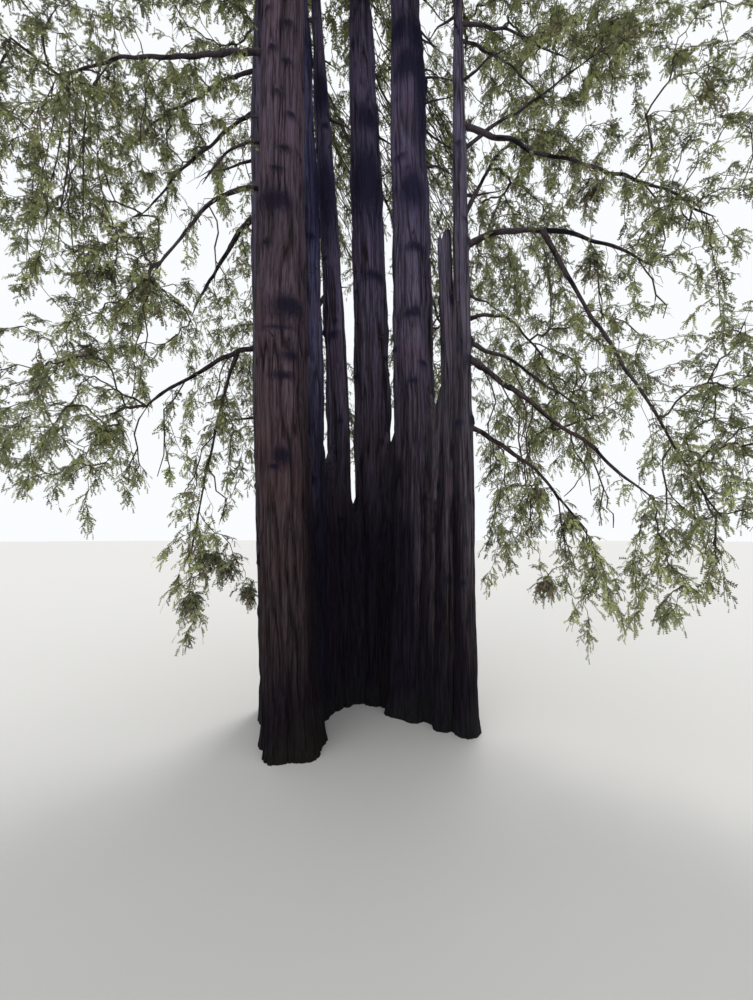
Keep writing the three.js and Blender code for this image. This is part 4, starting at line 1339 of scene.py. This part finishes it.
def fringe_growth(side_name, rng):
    """Branchlets that droop along the boughs of one side, its long hanging twigs and side branches."""
    growth = Growth([], [], rng)
    for name in BOUGHS:
        if not on_side(side_name, bough_line(name, [0.5])[0][0]):
            continue
        length = bough_length(name)
        for share in np.arange(0.14, 0.98, BRANCHLET_ROOM / length):
            share += rng.uniform(-0.08, 0.08) / length
            point, ahead = crooked_line(name, [share, share + 0.02])
            along = unit(ahead - point)
            side = unit(np.cross(along, [0.0, 0, 1.0]) + rng.normal(0, 0.2, 3)) * rng.choice([-1, 1])
            hang = 0.3 + 0.95 * rng.random() ** 1.6
            end = point + hang * (0.5 * side + 0.35 * along - np.array([0, 0, 0.75]))
            growth.reach(end, growth.root(point, unit(along + side)), arch=0.04)
    for point, way in hanging_twigs(HANGING_TWIGS, side_name):
        growth.reach(point + way, growth.root(point, unit(way)), arch=0.02)
        first = len(growth.points) - Growth.STEPS
        for _ in range(round(max(0.0, np.linalg.norm(way) - LONG_TWIG) / SHOOT_EVERY)):
            joint = first + int(rng.integers(1, Growth.STEPS))
            aside = rng.normal(0, 0.5, 3) * [1, 1, 0.3] - [0, 0, 0.45]
            growth.reach(growth.points[joint] + aside, joint, arch=0.04)
    for middle, radius in CLUMPS:
        if on_side(side_name, middle[0]):
            growth.reach(np.array(middle) + [0, 0, 0.6 * radius], arch=0.05)
    for name, height, heading, length, rise in SIDE_BRANCHES:
        if not on_side(side_name, STEMS[name]["route"][0][1]):
            continue
        out = compass(heading)
        start = stem_point(STEMS[name], height) + out * stem_radius(STEMS[name], height) * 0.8
        end = start + out * length * 1.2 + [0, 0, rise - 0.25 * length]
        growth.reach(end, growth.root(start, out), arch=0.05)
    return growth


def bare_twigs(side_name, rng):
    """The bare hanging twigs of one side, each with a forked side twig."""
    growth = Growth([], [], rng)
    for point, way in hanging_twigs(BARE_TWIGS, side_name):
        aside = rng.normal(0, 0.24, 3) * [1, 1, 0.2]
        growth.reach(point + way, growth.root(point, unit(way * [1, 1, 0])), arch=0.03)
        fork = growth.points[-3]
        growth.reach(fork + aside + [0, 0, 0.42 * way[2]], len(growth.points) - 3, arch=0.0)
    return growth


def clump_sprays(side_name, rng):
    """Starts and directions of the sprays in the dark clumps of one side."""
    starts, ways = [], []
    for middle, radius in [row for row in CLUMPS if on_side(side_name, row[0][0])]:
        for _ in range(CLUMP_SPRAYS):
            way = unit(rng.normal(0, 1, 3) * [1, 1, 0.8] + [0, 0, -0.5])
            starts.append(np.array(middle) + way * radius * rng.uniform(0, 0.45) + [0, 0, 0.3 * radius])
            ways.append(way)
    return np.array(starts), np.array(ways)


def deal_colours(starts, mass, rng):
    """A needle colour for each spray: darker within the mass as painted shade, lighter near its outside as
    new growth with painted backlight.
    """
    inner = np.array([row[2] for row in NEEDLE_COLOURS], float)
    outer = np.array([row[3] for row in NEEDLE_COLOURS], float)
    colours = []
    for start in starts:
        outside = 1 - min(1.0, max(0.0, mass.depth(start)) / OUTSIDE_DEPTH) if mass else FRINGE_SHARE
        weights = inner + (outer - inner) * outside
        colours.append(rng.choice(len(weights), p=weights / weights.sum()))
    return np.array(colours)


def within_box(starts, ways, lengths):
    """Which twigs end within the part's box."""
    ends = starts + ways * lengths[:, None]
    low, high = np.array(CAD_BOX[0]), np.array(CAD_BOX[1])
    return ((ends > low + 0.05) & (ends < high + 0.25)).all(axis=1) & (ends[:, 2] > LOWEST_LEAF)


def leafy_twigs(starts, ways, sizes, colours, habit, rng):
    """Twig tubes and their needles for one group, as two lists of mesh parts."""
    crown = bpy.context.scene.redwood_crown
    _, _, twig, shoot, shoots, thick = HABITS[habit]
    lengths = crown.spray_size * twig * sizes * rng.uniform(0.65, 1.3, len(starts))
    droops = crown.droop * rng.uniform(0.4, 1.6, len(starts))
    middles = starts + ways * (0.5 * lengths)[:, None]
    kept = within_box(starts, ways, lengths) & ~in_gap(middles) & ~in_gap(starts + ways * lengths[:, None])
    starts, ways, lengths, droops, colours = (a[kept] for a in (starts, ways, lengths, droops, colours))
    lines = drooping_lines(starts, ways, lengths, droops, np.linspace(0, 1, TWIG_STEPS + 1))
    radii = np.broadcast_to(thick * np.linspace(1, 0.25, TWIG_STEPS + 1), lines.shape[:2])
    corners, triangles = tubes(lines, radii, 3)
    needles = spray_needles(starts, ways, lengths, droops, colours, crown.spray_size * shoot, shoots, rng)
    return [(corners, triangles, 1)], [needles]


class REDWOOD_OT_root_crown(bpy.types.Operator):
    """Make the fused, flared feet of all the stems"""

    bl_idname = "redwood.root_crown"
    bl_label = "Root Crown"

    def execute(self, context):
        meshes = [(foot_mesh(name, stem, seed), stem) for seed, (name, stem) in enumerate(STEMS.items())]
        meshes += [(web_mesh(web, WEB_SEED + place), STEMS[web[1]]) for place, web in enumerate(WEBS)]
        feet = []
        for mesh, stem in meshes:
            mesh.materials.append(finish_of(stem["finish"]))
            feet.append(placed(mesh.name, mesh))
        with context.temp_override(active_object=feet[0], selected_editable_objects=feet):
            bpy.ops.object.join()
        joined = feet[0].data
        bpy.data.objects.remove(feet[0])
        joined.name = "bark_root_crown"
        new_piece("bark_root_crown", joined, [], ["root_crown"])
        return {"FINISHED"}


class REDWOOD_OT_stems(bpy.types.Operator):
    """Make the bark of every stem above the root crown"""

    bl_idname = "redwood.stems"
    bl_label = "Stems"

    def execute(self, context):
        for seed, (name, stem) in enumerate(STEMS.items()):
            new_piece("bark_" + name, stem_mesh(name, stem, seed), [stem["finish"]], [name])
        return {"FINISHED"}


class REDWOOD_OT_boughs(bpy.types.Operator):
    """Make the bark of every bough"""

    bl_idname = "redwood.boughs"
    bl_label = "Boughs"

    def execute(self, context):
        for seed, name in enumerate(BOUGHS):
            new_piece("bark_" + name, bough_mesh(name, seed), ["bough_fibres"], [name])
        paths, radii = stub_paths(np.random.default_rng(STUB_SEED))
        mesh = mesh_of("dead_stubs", [(*tubes(paths, radii, 5), 0)], True)
        new_piece("dead_stubs", mesh, ["bough_fibres"], [])
        return {"FINISHED"}


class REDWOOD_OT_crown(bpy.types.Operator):
    """Grow the branches, twigs and needles of every mass of foliage"""

    bl_idname = "redwood.crown"
    bl_label = "Crown"

    def execute(self, context):
        crown = context.scene.redwood_crown
        for index, name in enumerate(MASSES):
            self.grow_foliage(name, crown.leafiness, np.random.default_rng([crown.seed, index]))
        for side in ("left", "right"):
            self.grow_fringe(side, np.random.default_rng([crown.seed, FRINGE_SEED, len(side)]))
        return {"FINISHED"}

    def grow_foliage(self, name, leafiness, rng):
        """The branches, twigs and needles of one mass."""
        mass = Mass(name)
        growth = grow_mass(mass, rng)
        if not mass.high_up:
            weeping_branchlets(growth, rng)
        starts, ways, sizes = growth.twigs(HABITS[mass.habit][1] / leafiness, *MASS_TWIGS)
        if mass.habit == "crown_back":  # thin where the photograph shows it, and full above
            kept = (starts[:, 2] > BACK_FULL) | (rng.random(len(starts)) < BACK_SHARE)
            starts, ways, sizes = starts[kept], ways[kept], sizes[kept]
        colours = deal_colours(starts, mass, rng)
        twigs, needles = leafy_twigs(starts, ways, sizes, colours, mass.habit, rng)
        twigs.append(growth.branch_tubes(*(HIGH_BRANCH if mass.high_up else LOW_BRANCH)))
        if mass.habit == "crown_back":
            strands = hang_strands(growth, rng)
            starts, ways, sizes = strands.twigs(*STRAND_TWIGS)
            colours = deal_colours(starts, None, rng)
            more_twigs, more_needles = leafy_twigs(starts, ways, sizes, colours, mass.habit, rng)
            twigs += [strands.branch_tubes(*STRAND), *more_twigs]
            needles += more_needles
        self.finish(name, twigs, needles, [name])

    def grow_fringe(self, side, rng):
        """The branchlets along the boughs of one side, its hanging twigs and its dark clumps."""
        growth = fringe_growth(side, rng)
        starts, ways, sizes = growth.twigs(*FRINGE_TWIGS)
        colours = deal_colours(starts, None, rng)
        twigs, needles = leafy_twigs(starts, ways, sizes, colours, "foliage", rng)
        starts, ways = clump_sprays(side, rng)
        colours = rng.choice(len(CLUMP_WEIGHTS), len(starts), p=CLUMP_WEIGHTS)
        more_twigs, more_needles = leafy_twigs(starts, ways, np.ones(len(starts)), colours, "clump", rng)
        bare = bare_twigs(side, rng)
        branches = growth.branch_tubes(*FRINGE_BRANCH)
        twigs = [branches, *twigs, *more_twigs, bare.branch_tubes(*BARE_BRANCH)]
        self.finish("fringe_" + side, twigs, needles + more_needles, [])

    def finish(self, name, twigs, needles, nodes):
        """Joins the twigs of a group into one piece and its needles into another."""
        mesh = mesh_of("twigs_" + name, twigs, True)
        new_piece("twigs_" + name, mesh, ["branch_bark", "twig_bark"], [])
        mesh = mesh_of("needles_" + name, needles, False)
        new_piece("needles_" + name, mesh, NEEDLE_FINISHES, nodes)


class REDWOOD_OT_stage(bpy.types.Operator):
    """Make the floor, the soft light and the camera"""

    bl_idname = "redwood.stage"
    bl_label = "Stage"

    def execute(self, context):
        stage = context.scene.redwood_stage
        bm = bmesh.new()
        bmesh.ops.create_circle(bm, cap_ends=True, segments=96, radius=FLOOR_RADIUS)
        mesh = bpy.data.meshes.new("floor")
        bm.to_mesh(mesh)
        bm.free()
        mesh.materials.append(plain_finish("pale_floor", stage.floor, 0.95, 0.1))
        floor = placed("floor", mesh)
        floor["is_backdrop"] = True
        world = bpy.data.worlds.new("soft_sky")
        world.use_nodes = True
        background = next(n for n in world.node_tree.nodes if n.type == "BACKGROUND")
        background.inputs["Color"].default_value = rgba(stage.sky)
        background.inputs["Strength"].default_value = stage.sky_strength
        context.scene.world = world
        self.sun("high_back_light", 38, 155, stage.key_strength, 0.5)
        self.sun("front_light", 62, -32, 0.2 * stage.key_strength, 0.6)
        camera = placed("camera", bpy.data.cameras.new("camera"))
        camera.data.lens = stage.lens
        camera.data.sensor_width = SENSOR
        camera.data.clip_end = FURTHEST_SEEN
        camera.location = stage.eye
        camera.rotation_euler = (math.pi / 2 + stage.pitch, 0, 0)
        context.scene.camera = camera
        context.scene.view_settings.view_transform = "Standard"
        return {"FINISHED"}

    def sun(self, name, tilt, heading, strength, spread):
        lamp = bpy.data.lights.new(name, "SUN")
        lamp.energy = strength
        lamp.angle = spread
        lamp.color = (1, 0.98, 0.94)
        placed(name, lamp).rotation_euler = (math.radians(tilt), 0, math.radians(heading))


OPERATORS = [REDWOOD_OT_root_crown, REDWOOD_OT_stems, REDWOOD_OT_boughs, REDWOOD_OT_crown, REDWOOD_OT_stage]


class REDWOOD_PT_panel(bpy.types.Panel):
    """Lists the steps that make the tree"""

    bl_idname = "REDWOOD_PT_panel"
    bl_label = "Redwood Ring"
    bl_space_type = "VIEW_3D"
    bl_region_type = "UI"
    bl_category = "Redwood"

    def draw(self, context):
        for operator in OPERATORS:
            self.layout.operator(operator.bl_idname)


SETTINGS = {
    "redwood_bark": BarkSettings,
    "redwood_crown": CrownSettings,
    "redwood_stage": StageSettings,
}


def register():
    for made in (*SETTINGS.values(), *OPERATORS, REDWOOD_PT_panel):
        bpy.utils.register_class(made)
    for name, group in SETTINGS.items():
        setattr(bpy.types.Scene, name, PointerProperty(type=group))


def unregister():
    for name in SETTINGS:
        delattr(bpy.types.Scene, name)
    for made in (REDWOOD_PT_panel, *OPERATORS, *SETTINGS.values()):
        bpy.utils.unregister_class(made)


def main():
    register()
    bpy.ops.redwood.root_crown()
    bpy.ops.redwood.stems()
    bpy.ops.redwood.boughs()
    bpy.ops.redwood.crown()
    bpy.ops.redwood.stage()
    boxes = {"cad": CAD_BOX, "visual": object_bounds()}
    {name: [list(corner) for corner in box] for name, box in boxes.items()}


if __name__ == "__main__":
    main()
